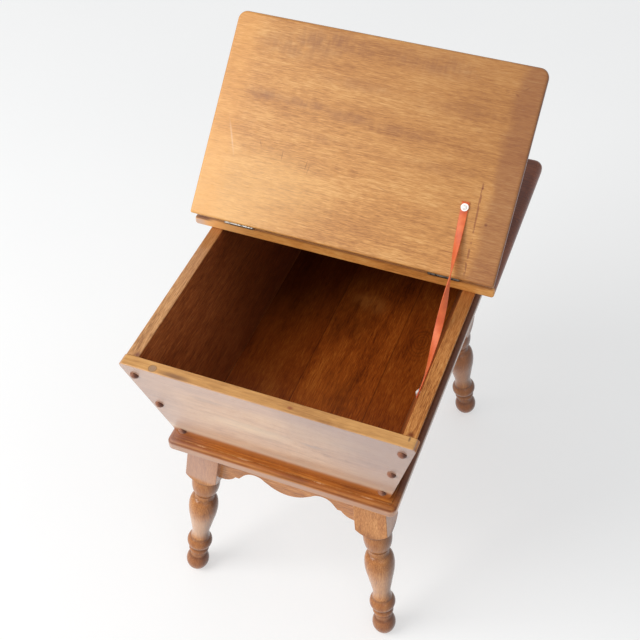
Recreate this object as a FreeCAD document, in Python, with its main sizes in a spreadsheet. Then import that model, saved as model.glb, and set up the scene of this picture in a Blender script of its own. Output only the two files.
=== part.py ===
import FreeCAD, Part
import math
import os

import Sketcher

# Storage table with a flared box, a turned splayed stand and a split top.
# X runs along the hinge, Y runs from the lid's side to the fixed side, Z is up.
# Pieces are drawn about the hinge line with the floor at zero, then moved along Y
# so that the whole object is centred on the origin.

doc = FreeCAD.newDocument("StorageTable")
sheet = doc.addObject("Spreadsheet::Sheet", "Sizes")

SIZES = [
    # Top: two equal halves, one fixed and one hinged
    ("top_width", 457.2, "across the table, along the hinge"),
    ("half_depth", 303.5, "one half of the split top"),
    ("top_thickness", 19.05, "board of the top"),
    ("joint_gap", 1.0, "between the two halves"),
    ("top_corner_radius", 13.5, "outer corners seen from above"),
    ("top_edge_radius", 11.0, "upper outer edges"),
    ("top_lower_radius", 4.0, "lower outer edges"),
    ("joint_edge_radius", 2.5, "edges along the joint"),
    ("lid_rest_gap", 0.3, "closed lid above the rim"),
    ("open_angle", 136.0, "degrees that the strap lets the lid open"),
    # Flared box
    ("rim_height", 555.2, "rim above the floor"),
    ("box_depth", 194.1, "rim to the base board"),
    ("box_width", 406.1, "outer faces of the side boards at the rim"),
    ("box_length", 570.6, "outer faces of the end boards at the rim"),
    ("board_thickness", 18.0, "boards of the box"),
    ("side_flare_angle", 12.9, "degrees that the side boards lean out"),
    ("end_flare_angle", 13.9, "degrees that the end boards lean out"),
    ("end_overhang", 5.1, "end boards past the side boards"),
    ("end_corner_radius", 7.0, "top corners of the end boards"),
    ("rim_edge_radius", 1.5, "worn edges of the rim"),
    # Base board
    ("base_thickness", 19.0, "floor of the box"),
    ("base_side_overhang", 18.4, "base board past the foot of the side boards"),
    ("base_end_overhang", 17.2, "base board past the foot of the end boards"),
    ("base_step_width", 9.0, "moulded edge in from the edge of the base board"),
    ("base_step_depth", 1.2, "moulded edge below the floor of the box"),
    ("base_edge_radius", 7.5, "upper edge of the base board"),
    ("base_lower_radius", 2.0, "lower edge of the base board"),
    ("base_corner_radius", 10.0, "corners of the base board from above"),
    # Legs, with heights along the leg's own axis
    ("foot_side_inset", 7.7, "leg axis at the floor, in from the base board's side"),
    ("foot_end_inset", 10.6, "leg axis at the floor, in from the base board's end"),
    ("leg_splay_angle", 6.843, "degrees that a leg leans each way"),
    ("block_width", 50.8, "square block of the leg"),
    ("block_edge_radius", 1.2, "long edges of the block"),
    ("block_shoulder", 260.5, "turned shoulder meets the block's corners"),
    ("collar_top", 245.5, "thin collar under the block"),
    ("collar_bottom", 241.8, "thin collar under the block"),
    ("collar_radius", 21.6, "thin collar under the block"),
    ("cup_brim_radius", 20.8, "top of the cup"),
    ("cup_height", 228.0, "widest part of the cup"),
    ("cup_radius", 22.3, "widest part of the cup"),
    ("bowl_height", 213.0, "rounded underside of the cup"),
    ("bowl_radius", 20.6, "rounded underside of the cup"),
    ("neck_top", 203.5, "neck under the cup"),
    ("neck_bottom", 191.5, "neck over the vase"),
    ("neck_radius", 16.2, "ends of the neck"),
    ("vase_shoulder_height", 181.0, "shoulder of the vase"),
    ("vase_shoulder_radius", 22.4, "shoulder of the vase"),
    ("vase_height", 168.0, "widest part of the vase"),
    ("vase_radius", 23.7, "widest part of the vase"),
    ("vase_belly_height", 148.0, "where the taper of the vase starts"),
    ("vase_belly_radius", 21.9, "where the taper of the vase starts"),
    ("stem_height", 106.0, "where the taper of the vase ends"),
    ("stem_radius", 14.6, "where the taper of the vase ends"),
    ("ring_top", 84.5, "upper edge of the ring"),
    ("ring_bottom", 61.0, "lower edge of the ring"),
    ("ring_edge_radius", 16.0, "edges of the ring"),
    ("bead_top", 58.5, "small bead under the ring"),
    ("bead_bottom", 46.5, "small bead under the ring"),
    ("bead_edge_radius", 14.6, "edges of the small bead"),
    ("ankle_bottom", 37.0, "ankle meets the ball"),
    ("ankle_radius", 13.2, "ankle over the ball"),
    ("ball_bottom_radius", 5.6, "ball foot below the floor line, cut off flat"),
    ("floor_trim", 3.0, "length cut off the foot to stand flat"),
    # Aprons, with drops below the base board along the apron's face
    ("apron_thickness", 18.0, "apron board"),
    ("apron_setback", 14.1, "apron behind the face of the blocks"),
    ("apron_seat", 6.0, "blank past the block before it is fitted"),
    ("middle_drop", 79.0, "bottom of the middle lobe"),
    ("middle_edge_drop", 71.7, "edge of the middle lobe"),
    ("arch_start_drop", 64.9, "inner start of the arch"),
    ("arch_end_drop", 67.5, "outer end of the arch"),
    ("step_drop", 75.8, "small flat step"),
    ("lobe_drop", 87.6, "lobe beside the block"),
    # Battens between aprons and base board
    ("batten_width", 22.0, "along the base board"),
    ("batten_height", 22.0, "down the apron"),
    ("batten_end_gap", 28.0, "from a batten's end to the leg block"),
    # Cleats under the fixed top
    ("cleat_width", 21.0, "at the fixed top"),
    ("cleat_height", 27.0, "down the side board"),
    ("cleat_start", 62.0, "from the hinge line"),
    ("cleat_end_gap", 21.0, "from a cleat's end to the rear board"),
    # Screws
    ("screw_radius", 2.0, "shank"),
    ("screw_head_radius", 3.9, "countersunk head"),
    ("screw_head_height", 2.4, "countersunk head"),
    ("screw_tip", 5.0, "pointed end"),
    ("screw_clearance", 0.08, "round screws, plugs and washers"),
    ("box_screw_length", 46.0, "through the end boards"),
    ("box_screw_depth", 7.0, "heads below the face of the end boards"),
    ("base_screw_length", 44.0, "up through the base board"),
    ("batten_screw_length", 34.0, "up through the battens"),
    ("cleat_screw_length", 38.0, "up through the cleats"),
    ("cleat_side_screw_length", 28.0, "sideways through the cleats"),
    # Button plugs
    ("plug_radius", 6.25, "domed head"),
    ("plug_rise", 4.8, "domed head above the face"),
    ("plug_stem_radius", 4.8, "stem in its hole"),
    ("plug_stem_length", 6.0, "stem in its hole"),
    ("plug_first_depth", 25.0, "first plug below the rim"),
    ("plug_last_depth", 177.5, "last plug below the rim"),
    ("rim_plug_radius", 4.8, "plug let into the front rim"),
    ("rim_plug_margin", 2.0, "wood between the plug and the outer face"),
    ("rim_plug_length", 9.0, "plug let into the front rim"),
    ("rim_plug_inset", 50.4, "from the end of the board"),
    # Hinges
    ("hinge_inset", 72.85, "middle of a hinge from the side of the top"),
    ("hinge_width", 45.0, "along the pin"),
    ("hinge_rise", 0.45, "pin above the face of the top"),
    ("leaf_depth", 19.5, "from the pin to the leaf's edge"),
    ("leaf_thickness", 1.8, "hinge leaf"),
    ("knuckle_radius", 2.75, "outside of the knuckles"),
    ("pin_radius", 1.4, "hinge pin"),
    ("pin_clearance", 0.05, "round the pin"),
    ("pin_end", 0.8, "pin past the knuckles at each end"),
    ("knuckle_clearance", 0.15, "between knuckles along the pin"),
    ("barrel_clearance", 0.4, "wood round the knuckles"),
    ("leaf_screw_radius", 1.5, "shank"),
    ("leaf_screw_head_radius", 3.0, "countersunk head"),
    ("leaf_screw_length", 13.0, "hinge screws"),
    ("leaf_screw_spread", 15.0, "outer screws from the middle one"),
    ("leaf_screw_near", 9.0, "outer screws from the pin"),
    ("leaf_screw_far", 14.0, "middle screw from the pin"),
    # Strap stay
    ("strap_width", 10.5, "leather strap"),
    ("strap_thickness", 1.6, "leather strap"),
    ("strap_tab", 8.0, "strap past its screws"),
    ("strap_twist", 270.0, "degrees of twist between the screws, to the nearest fit"),
    ("strap_seat_gap", 0.3, "strap off the wood and the washer"),
    ("strap_lid_inset", 21.4, "lid screw in from the inner face of the side board"),
    ("strap_lid_reach", 97.7, "lid screw from the hinge line, lid closed"),
    ("strap_wall_reach", 160.0, "wall screw from the hinge line"),
    ("strap_wall_depth", 45.0, "wall screw below the rim"),
    ("washer_radius", 5.4, "strap washer"),
    ("washer_thickness", 0.9, "strap washer"),
    ("strap_screw_radius", 1.7, "shank"),
    ("strap_screw_head_radius", 3.4, "round head"),
    ("strap_screw_head_height", 2.0, "round head"),
    ("strap_screw_length", 13.0, "in the wood"),
]

for row, (alias, value, note) in enumerate(SIZES, start=1):
    sheet.set("A%d" % row, note)
    sheet.set("B%d" % row, str(value))
    sheet.setAlias("B%d" % row, alias)
doc.recompute()


class Size:
    """A number together with the sheet formula that gives it."""

    def __init__(self, value, formula):
        self.value = float(value)
        self.formula = formula

    def __add__(self, other):
        other = as_size(other)
        return Size(self.value + other.value, "(%s + %s)" % (self.formula, other.formula))

    def __sub__(self, other):
        other = as_size(other)
        return Size(self.value - other.value, "(%s - %s)" % (self.formula, other.formula))

    def __mul__(self, other):
        other = as_size(other)
        return Size(self.value * other.value, "(%s * %s)" % (self.formula, other.formula))

    def __truediv__(self, other):
        other = as_size(other)
        return Size(self.value / other.value, "(%s / %s)" % (self.formula, other.formula))

    def __neg__(self):
        return Size(-self.value, "(0 - %s)" % self.formula)


def as_size(item):
    """Return a plain number as a Size."""
    if isinstance(item, Size):
        return item
    return Size(item, repr(float(item)))


def size(alias):
    """Return the named driving size."""
    return Size(sheet.get(alias), "Sizes.%s" % alias)


def tangent(angle):
    """Return the tangent of an angle in degrees."""
    return Size(math.tan(math.radians(angle.value)), "tan(%s)" % angle.formula)


def cosine(angle):
    """Return the cosine of an angle in degrees."""
    return Size(math.cos(math.radians(angle.value)), "cos(%s)" % angle.formula)


def root(item):
    """Return a square root."""
    return Size(math.sqrt(item.value), "sqrt(%s)" % item.formula)


# Levels and places that several pieces share
over = size("board_thickness")
rim = size("rim_height")
floor_of_box = rim - size("box_depth")
under_base = floor_of_box - size("base_thickness")
side_slope = tangent(size("side_flare_angle"))
end_slope = tangent(size("end_flare_angle"))
side_run = size("board_thickness") / cosine(size("side_flare_angle"))
end_run = size("board_thickness") / cosine(size("end_flare_angle"))
side_outer = size("box_width") / 2
end_outer = size("box_length") / 2
half_gap = size("joint_gap") / 2
top_reach = half_gap + size("half_depth")
pin_height = rim + size("top_thickness") + size("hinge_rise")
block_half = size("block_width") / 2
splay_slope = tangent(size("leg_splay_angle"))
splay_cosine = cosine(size("leg_splay_angle"))
apron_back = (block_half - size("apron_setback") - size("apron_thickness")) / splay_cosine
hinge_line = (end_outer - top_reach) / 2
base_across = side_outer - side_slope * size("box_depth") + size("base_side_overhang")
base_along = end_outer - end_slope * size("box_depth") + size("base_end_overhang")
foot_across = base_across - size("foot_side_inset")
foot_along = base_along - size("foot_end_inset")
hinge_across = size("top_width") / 2 - size("hinge_inset")
cleat_back = end_outer - end_run - end_slope * size("cleat_height") - size("cleat_end_gap")
cleat_length = cleat_back - size("cleat_start")

# Bow of a quarter circle as a share of its chord
QUARTER_SHARE = (math.sqrt(2) - 1) / 2
# Lengths that differ by less than this share of a board count as the same
MATCH_SHARE = 0.001
KNUCKLES = 5

parts = {}


def set_expression(item, path, amount):
    """Bind one property to the sheet."""
    item.setExpression(path, as_size(amount).formula)


def new_body(name):
    """Start a body."""
    return doc.addObject("PartDesign::Body", name)


def sketch_on(body, plane, lift=None):
    """Start a sketch on one of the body's own planes, lifted along its normal."""
    sketch = body.newObject("Sketcher::SketchObject", body.Name + "Sketch")
    support = [item for item in body.Origin.OriginFeatures if item.Role == plane][0]
    sketch.AttachmentSupport = [(support, "")]
    sketch.MapMode = "FlatFace"
    if lift is not None:
        set_expression(sketch, "AttachmentOffset.Base.z", lift)
    return sketch


def place_point(sketch, curve, end, across, up):
    """Hold one point of a curve at its place."""
    for kind, amount in (("DistanceX", across), ("DistanceY", up)):
        index = sketch.addConstraint(Sketcher.Constraint(kind, -1, 1, curve, end, amount.value))
        set_expression(sketch, "Constraints[%d]" % index, amount)


def draw_outline(sketch, path):
    """Draw a closed outline through corners.

    A corner is (across, up) or (across, up, share). The share bows the stretch to
    the next corner out to the right by that part of its length.
    """
    corners = [(as_size(item[0]), as_size(item[1])) for item in path]
    shares = [item[2] if len(item) > 2 else 0 for item in path]
    ends = []
    for number, share in enumerate(shares):
        start = corners[number]
        stop = corners[(number + 1) % len(corners)]
        first = FreeCAD.Vector(start[0].value, start[1].value, 0)
        second = FreeCAD.Vector(stop[0].value, stop[1].value, 0)
        if not share:
            curve = sketch.addGeometry(Part.LineSegment(first, second), False)
            ends.append((curve, 1, 2))
            continue
        width = stop[0] - start[0]
        height = stop[1] - start[1]
        chord = root(width * width + height * height)
        radius = chord * ((0.25 + share * share) / (2 * abs(share)))
        along = second - first
        right = FreeCAD.Vector(along.y, -along.x, 0).normalize()
        bow = right * (chord.value * share)
        middle = (first + second) / 2 + bow
        centre = middle - right * math.copysign(radius.value, share)
        begin, finish = (first, second) if share > 0 else (second, first)
        start_angle = math.atan2(begin.y - centre.y, begin.x - centre.x)
        stop_angle = math.atan2(finish.y - centre.y, finish.x - centre.x)
        if stop_angle < start_angle:
            stop_angle += 2 * math.pi
        circle = Part.Circle(centre, FreeCAD.Vector(0, 0, 1), radius.value)
        curve = sketch.addGeometry(Part.ArcOfCircle(circle, start_angle, stop_angle), False)
        index = sketch.addConstraint(Sketcher.Constraint("Radius", curve, radius.value))
        set_expression(sketch, "Constraints[%d]" % index, radius)
        ends.append((curve, 1, 2) if share > 0 else (curve, 2, 1))
    for number, (curve, start_end, stop_end) in enumerate(ends):
        following = ends[(number + 1) % len(ends)]
        sketch.addConstraint(Sketcher.Constraint("Coincident", curve, stop_end, following[0], following[1]))
        place_point(sketch, curve, start_end, corners[number][0], corners[number][1])


def draw_circle(sketch, across, up, radius):
    """Draw a circle."""
    across, up, radius = as_size(across), as_size(up), as_size(radius)
    centre = FreeCAD.Vector(across.value, up.value, 0)
    circle = Part.Circle(centre, FreeCAD.Vector(0, 0, 1), radius.value)
    curve = sketch.addGeometry(circle, False)
    index = sketch.addConstraint(Sketcher.Constraint("Radius", curve, radius.value))
    set_expression(sketch, "Constraints[%d]" % index, radius)
    place_point(sketch, curve, 3, across, up)


def pad(body, sketch, length, both_ways=False):
    """Give a sketch its thickness."""
    feature = body.newObject("PartDesign::Pad", body.Name + "Pad")
    feature.Profile = sketch
    feature.SideType = "Symmetric" if both_ways else "One side"
    set_expression(feature, "Length", length)
    doc.recompute()
    return feature


def cut_checked(feature, before):
    """Make sure that a cut has taken wood away."""
    doc.recompute()
    if feature.Shape.isNull() or feature.Shape.Volume >= before:
        raise ValueError("%s cuts nothing" % feature.Name)


def pocket(body, sketch, length, both_ways=False):
    """Cut a sketch out of a body."""
    before = body.Shape.Volume
    feature = body.newObject("PartDesign::Pocket", body.Name + "Pocket")
    feature.Profile = sketch
    feature.SideType = "Symmetric" if both_ways else "One side"
    set_expression(feature, "Length", length)
    cut_checked(feature, before)
    return feature


def turn(body, sketch, kind="PartDesign::Revolution"):
    """Turn a sketch about the body's upright axis."""
    before = body.Shape.Volume if body.Tip else 0
    feature = body.newObject(kind, body.Name + "Turned")
    feature.Profile = sketch
    axis = [item for item in body.Origin.OriginFeatures if item.Role == "Z_Axis"][0]
    feature.ReferenceAxis = (axis, [""])
    feature.Angle = 360
    if kind == "PartDesign::Groove":
        cut_checked(feature, before)
    doc.recompute()
    return feature


def round_edges(body, test, amount, kind="PartDesign::Fillet", path="Radius"):
    """Round or bevel the edges of a body whose bounding box passes the test."""
    doc.recompute()
    base = body.Tip
    names = []
    for number, edge in enumerate(base.Shape.Edges, start=1):
        if test(edge.BoundBox):
            names.append("Edge%d" % number)
    if not names:
        raise ValueError("%s has no edge to round" % body.Name)
    feature = body.newObject(kind, body.Name + "Edges")
    feature.Base = (base, names)
    set_expression(feature, path, amount)
    doc.recompute()
    return feature


def near(first, second):
    """Tell whether two lengths agree within a small share of the board's thickness."""
    return abs(first - second) < over.value * MATCH_SHARE


def flat_at(box, height):
    """Tell whether an edge lies level at a height."""
    return near(box.ZMin, height) and near(box.ZMax, height)


def at_rim(box):
    """Tell whether an edge lies along the rim."""
    return flat_at(box, rim.value)


def on_border(box, across, along):
    """Tell whether an edge lies on the border of a rectangle about the middle."""
    on_side = near(box.XMax, across) or near(box.XMin, -across)
    return on_side or near(box.YMax, along) or near(box.YMin, -along)


def link(name, item, placement):
    """Place one more copy of a piece."""
    copy = doc.addObject("App::Link", name)
    copy.LinkedObject = item
    copy.Placement = placement
    return copy


def group(name, items):
    """Gather separate solids."""
    compound = doc.addObject("Part::Compound", name)
    compound.Links = items
    doc.recompute()
    return compound


def cut(name, base, tools):
    """Cut tools out of a piece."""
    feature = doc.addObject("Part::Cut", name)
    feature.Base = base
    feature.Tool = tools if not isinstance(tools, list) else group(name + "Tools", tools)
    doc.recompute()
    if feature.Shape.Volume >= base.Shape.Volume:
        raise ValueError("%s cuts nothing" % name)
    return feature


def turn_open():
    """Return the turn of the lid from closed to open, about the hinge pins."""
    pin = FreeCAD.Vector(0, 0, pin_height.value)
    rotation = FreeCAD.Rotation(FreeCAD.Vector(1, 0, 0), -size("open_angle").value)
    return FreeCAD.Placement(FreeCAD.Vector(0, 0, 0), rotation, pin)


def keep(name, item, on_lid=False):
    """Name a finished sub-part and move it from the hinge line's frame to the object's."""
    shift = FreeCAD.Placement(FreeCAD.Vector(0, hinge_line.value, 0), FreeCAD.Rotation())
    item.Label = name
    item.Placement = shift.multiply(turn_open()) if on_lid else shift
    parts[name] = item


def screw(name, shank, head_radius, head_height, length, tip):
    """Make a countersunk wood screw, its head's face at zero and its point down."""
    body = new_body(name)
    sketch = sketch_on(body, "XZ_Plane")
    draw_outline(sketch, [
        (0, -length),
        (shank, tip - length),
        (shank, -head_height),
        (head_radius, 0),
        (0, 0),
    ])
    turn(body, sketch)
    return body


def screw_hole(name, shank, head_radius, head_height, length, access):
    """Make the hole for a countersunk screw, open above its head by the access length."""
    gap = size("screw_clearance")
    body = new_body(name)
    sketch = sketch_on(body, "XZ_Plane")
    draw_outline(sketch, [
        (0, -length - gap),
        (shank + gap, -length - gap),
        (shank + gap, -head_height),
        (head_radius + gap, 0),
        (head_radius + gap, access),
        (0, access),
    ])
    turn(body, sketch)
    return body


def facing(position, direction):
    """Return the place of a screw at a point, its head facing along a direction."""
    rotation = FreeCAD.Rotation(FreeCAD.Vector(0, 0, 1), direction)
    return FreeCAD.Placement(position, rotation)


def copies(name, item, places):
    """Place a copy of a piece at each place."""
    return [link("%s%d" % (name, number), item, place) for number, place in enumerate(places)]


# Base board, which is also the floor of the box
STEP_CORNER_SHARE = 0.4


def draw_rounded(sketch, x, y, r):
    """Draw a rectangle with rounded corners about the middle."""
    draw_outline(sketch, [
        (-x + r, -y), (x - r, -y, QUARTER_SHARE),
        (x, -y + r), (x, y - r, QUARTER_SHARE),
        (x - r, y), (-x + r, y, QUARTER_SHARE),
        (-x, y - r), (-x, -y + r, QUARTER_SHARE),
    ])


def make_base_board():
    """Pad the base board and round its edges."""
    body = new_body("BaseBoard")
    sketch = sketch_on(body, "XY_Plane", under_base)
    draw_rounded(sketch, base_across, base_along, size("base_corner_radius"))
    pad(body, sketch, size("base_thickness"))
    step = size("base_step_width")
    ring = sketch_on(body, "XY_Plane", floor_of_box)
    draw_rounded(ring, base_across + step, base_along + step, size("base_corner_radius"))
    draw_rounded(ring, base_across - step, base_along - step, size("base_corner_radius") * STEP_CORNER_SHARE)
    pocket(body, ring, size("base_step_depth"))
    level = (floor_of_box - size("base_step_depth")).value
    across, along = base_across.value, base_along.value
    round_edges(
        body,
        lambda box: flat_at(box, level) and on_border(box, across, along),
        size("base_edge_radius"),
    )
    round_edges(body, lambda box: near(box.ZMax, under_base.value), size("base_lower_radius"))
    return body


# Boards of the flared box
def make_end_board(name, side):
    """Pad the leaning section of an end board and cut its slanting ends."""
    body = new_body(name)
    drop = end_slope * size("box_depth")
    inner = end_outer - end_run
    section = sketch_on(body, "YZ_Plane")
    path = [
        (end_outer, rim),
        (inner, rim),
        (inner - drop, floor_of_box),
        (end_outer - drop, floor_of_box),
    ]
    draw_outline(section, [(across * side, up) for across, up in path])
    half = side_outer + size("end_overhang")
    pad(body, section, half * 2, both_ways=True)
    ends = sketch_on(body, "XZ_Plane")
    foot = half - side_slope * size("box_depth")
    for hand in (-1, 1):
        draw_outline(ends, [
            (half * hand, rim),
            (foot * hand, floor_of_box),
            (half * hand, floor_of_box),
        ])
    pocket(body, ends, size("box_length") * 2, both_ways=True)
    round_edges(
        body,
        lambda box: at_rim(box) and box.XLength < over.value and abs(box.Center.x) > side_outer.value,
        size("end_corner_radius"),
    )
    round_edges(
        body,
        lambda box: at_rim(box) and box.XLength > side_outer.value,
        size("rim_edge_radius"),
    )
    return body


def make_side_board(name, hand):
    """Pad the leaning section of a side board and cut its ends to the end boards."""
    body = new_body(name)
    drop = side_slope * size("box_depth")
    inner = side_outer - side_run
    section = sketch_on(body, "XZ_Plane")
    path = [
        (side_outer, rim),
        (inner, rim),
        (inner - drop, floor_of_box),
        (side_outer - drop, floor_of_box),
    ]
    draw_outline(section, [(across * hand, up) for across, up in path])
    pad(body, section, size("box_length"), both_ways=True)
    ends = sketch_on(body, "YZ_Plane")
    seat = end_outer - end_run
    foot = seat - end_slope * size("box_depth")
    for side in (-1, 1):
        draw_outline(ends, [
            (seat * side, rim),
            (foot * side, floor_of_box),
            ((end_outer + over) * side, floor_of_box),
            ((end_outer + over) * side, rim),
        ])
    pocket(body, ends, size("box_width") * 2, both_ways=True)
    round_edges(
        body,
        lambda box: at_rim(box) and box.YLength > end_outer.value,
        size("rim_edge_radius"),
    )
    return body


# Legs: square blanks turned to a profile, leaned, and trimmed level at both ends
BALL_SHARE = 0.2275
ANKLE_SHARE = 0.06
BEAD_SHARE = 0.18
RING_SHARE = 0.2
STEM_SHARE = 0.045
BELLY_SHARE = 0.02
VASE_SHARE = 0.025
SHOULDER_SHARE = 0.085
NECK_SHARE = 0.08
BOWL_SHARE = 0.055
CUP_SHARE = 0.03
COLLAR_SHARE = 0.15
POMMEL_SHARE = 0.06


def leg_profile():
    """Return the turned outline of a leg from the foot up to its block."""
    return [
        (0, -size("floor_trim")),
        (size("ball_bottom_radius"), -size("floor_trim"), BALL_SHARE),
        (size("ankle_radius"), size("ankle_bottom"), -ANKLE_SHARE),
        (size("bead_edge_radius"), size("bead_bottom"), BEAD_SHARE),
        (size("bead_edge_radius"), size("bead_top")),
        (size("bead_edge_radius"), size("ring_bottom")),
        (size("ring_edge_radius"), size("ring_bottom"), RING_SHARE),
        (size("ring_edge_radius"), size("ring_top"), -STEM_SHARE),
        (size("stem_radius"), size("stem_height")),
        (size("vase_belly_radius"), size("vase_belly_height"), BELLY_SHARE),
        (size("vase_radius"), size("vase_height"), VASE_SHARE),
        (size("vase_shoulder_radius"), size("vase_shoulder_height"), SHOULDER_SHARE),
        (size("neck_radius"), size("neck_bottom"), -NECK_SHARE),
        (size("neck_radius"), size("neck_top"), BOWL_SHARE),
        (size("bowl_radius"), size("bowl_height"), CUP_SHARE),
        (size("cup_radius"), size("cup_height"), CUP_SHARE),
        (size("cup_brim_radius"), size("collar_bottom")),
        (size("collar_radius"), size("collar_bottom"), COLLAR_SHARE),
        (size("collar_radius"), size("collar_top"), POMMEL_SHARE),
        (block_half * math.sqrt(2), size("block_shoulder")),
    ]


def make_leg_blank(name, hand, side):
    """Turn a square blank and lean it to its place."""
    body = new_body(name)
    square = sketch_on(body, "XY_Plane", -size("floor_trim"))
    draw_outline(square, [
        (-block_half, -block_half),
        (block_half, -block_half),
        (block_half, block_half),
        (-block_half, block_half),
    ])
    pad(body, square, floor_of_box + size("floor_trim"))
    round_edges(body, lambda box: box.ZLength > over.value, size("block_edge_radius"))
    outside = size("block_width")
    profile = sketch_on(body, "XZ_Plane")
    path = leg_profile()
    path += [
        (outside, size("block_shoulder") + outside - block_half * math.sqrt(2)),
        (outside, -size("floor_trim") - over),
        (0, -size("floor_trim") - over),
    ]
    draw_outline(profile, path)
    turn(body, profile, "PartDesign::Groove")
    body.Placement = leg_place(hand, side)
    return body


def leg_place(hand, side):
    """Return the place of a leaning leg, its axis up from the floor."""
    lean = FreeCAD.Vector(-hand * splay_slope.value, -side * splay_slope.value, 1)
    foot = FreeCAD.Vector(hand * foot_across.value, side * foot_along.value, 0)
    return facing(foot, lean)


def make_leg_square(name, hand, side):
    """Make the plain square of a leg, which the aprons are fitted to."""
    square = doc.addObject("Part::Box", name)
    set_expression(square, "Length", block_half * 2)
    set_expression(square, "Width", block_half * 2)
    set_expression(square, "Height", rim)
    corner = FreeCAD.Vector(-block_half.value, -block_half.value, 0)
    square.Placement = leg_place(hand, side).multiply(FreeCAD.Placement(corner, FreeCAD.Rotation()))
    return square


def make_room(name, width, length, bottom, top):
    """Make a level box about the middle, which pieces are trimmed to."""
    room = doc.addObject("Part::Box", name)
    set_expression(room, "Length", width)
    set_expression(room, "Width", length)
    set_expression(room, "Height", top - bottom)
    set_expression(room, "Placement.Base.x", -width / 2)
    set_expression(room, "Placement.Base.y", -length / 2)
    set_expression(room, "Placement.Base.z", bottom)
    return room


def trimmed(name, blank, room):
    """Keep the part of a blank that lies in a room."""
    feature = doc.addObject("Part::Common", name)
    feature.Base = blank
    feature.Tool = room
    doc.recompute()
    return feature


# Places along an apron as shares of its half span, and the bows of its curves
MIDDLE_SHARE = 0.24
ARCH_START_SHARE = 0.335
ARCH_END_SHARE = 0.645
STEP_START_SHARE = 0.705
STEP_END_SHARE = 0.76
LOBE_SHARE = 0.955
ARCH_BOW_SHARE = 0.225
LOBE_BOW_SHARE = 0.127


def make_apron_blank(name, spread, reach, turned):
    """Pad a scalloped apron board, leaned like the legs, long enough to meet both blocks."""
    body = new_body(name)
    top = under_base / splay_cosine
    lobe = top - size("lobe_drop")
    span = spread - lobe * splay_slope - block_half
    half = span + size("apron_seat")
    middle = span * MIDDLE_SHARE
    middle_edge = top - size("middle_edge_drop")
    arch_start = top - size("arch_start_drop")
    arch_end = top - size("arch_end_drop")
    step = top - size("step_drop")
    right = [
        (middle, middle_edge),
        (span * ARCH_START_SHARE, arch_start, -ARCH_BOW_SHARE),
        (span * ARCH_END_SHARE, arch_end),
        (span * STEP_START_SHARE, step),
        (span * STEP_END_SHARE, step, LOBE_BOW_SHARE),
        (span * LOBE_SHARE, lobe),
        (half, lobe),
        (half, top + over),
    ]
    left = [
        (-half, top + over),
        (-half, lobe),
        (span * -LOBE_SHARE, lobe, LOBE_BOW_SHARE),
        (span * -STEP_END_SHARE, step),
        (span * -STEP_START_SHARE, step),
        (span * -ARCH_END_SHARE, arch_end, -ARCH_BOW_SHARE),
        (span * -ARCH_START_SHARE, arch_start),
    ]
    middle_bow_share = (size("middle_drop") - size("middle_edge_drop")).value / (2 * middle.value)
    left.append((-middle, middle_edge, middle_bow_share))
    outline = sketch_on(body, "XZ_Plane")
    draw_outline(outline, left + right)
    pad(body, outline, size("apron_thickness"))
    face = reach + apron_back
    lean = FreeCAD.Rotation(FreeCAD.Vector(1, 0, 0), -size("leg_splay_angle").value)
    turned_about = FreeCAD.Rotation(FreeCAD.Vector(0, 0, 1), turned)
    place = FreeCAD.Placement(FreeCAD.Vector(0, -face.value, 0), lean)
    body.Placement = FreeCAD.Placement(FreeCAD.Vector(), turned_about).multiply(place)
    return body


def make_batten(name, reach, length, turned):
    """Pad a batten that sits in the corner of an apron and the base board."""
    body = new_body(name)
    outer = under_base * splay_slope - reach - apron_back
    lower = under_base - size("batten_height")
    section = sketch_on(body, "YZ_Plane")
    draw_outline(section, [
        (outer, under_base),
        (outer - size("batten_height") * splay_slope, lower),
        (outer + size("batten_width"), lower),
        (outer + size("batten_width"), under_base),
    ])
    pad(body, section, length, both_ways=True)
    body.Placement = FreeCAD.Placement(FreeCAD.Vector(), FreeCAD.Rotation(FreeCAD.Vector(0, 0, 1), turned))
    return body


# Top: two halves with rounded edges, mortised for the hinges
def make_top_half(name, side, lift):
    """Pad one half of the top, side 1 behind the hinge line and -1 before it."""
    body = new_body(name)
    x, r = size("top_width") / 2, size("top_corner_radius")
    bow = QUARTER_SHARE * side
    plan = sketch_on(body, "XY_Plane", rim + lift)
    draw_outline(plan, [
        (-x, half_gap * side),
        (x, half_gap * side),
        (x, (top_reach - r) * side, bow),
        (x - r, top_reach * side),
        (-x + r, top_reach * side, bow),
        (-x, (top_reach - r) * side),
    ])
    thickness = size("top_thickness") - lift
    pad(body, plan, thickness)
    joint = half_gap.value * side
    levels = (
        (rim + size("top_thickness"), size("top_edge_radius")),
        (rim + lift, size("top_lower_radius")),
    )
    for level, radius in levels:
        round_edges(
            body,
            lambda box: flat_at(box, level.value) and abs(box.Center.y - joint) > over.value,
            radius,
        )
    round_edges(
        body,
        lambda box: near(box.YMin, joint) and near(box.YMax, joint),
        size("joint_edge_radius"),
    )
    leaf_edge = size("leaf_depth")
    leaf_half = size("hinge_width") / 2 + size("screw_clearance")
    seats = sketch_on(body, "XY_Plane", rim + size("top_thickness"))
    for hand in (-1, 1):
        middle = hinge_across * hand
        draw_outline(seats, [
            (middle - leaf_half, half_gap * side / 2),
            (middle + leaf_half, half_gap * side / 2),
            (middle + leaf_half, leaf_edge * side),
            (middle - leaf_half, leaf_edge * side),
        ])
    pocket(body, seats, size("leaf_thickness"))
    for hand in (-1, 1):
        barrel = sketch_on(body, "YZ_Plane", hinge_across * hand)
        draw_circle(barrel, 0, pin_height, size("knuckle_radius") + size("barrel_clearance"))
        length = size("hinge_width") + (size("pin_end") + size("barrel_clearance")) * 2
        pocket(body, barrel, length, both_ways=True)
    return body


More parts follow.
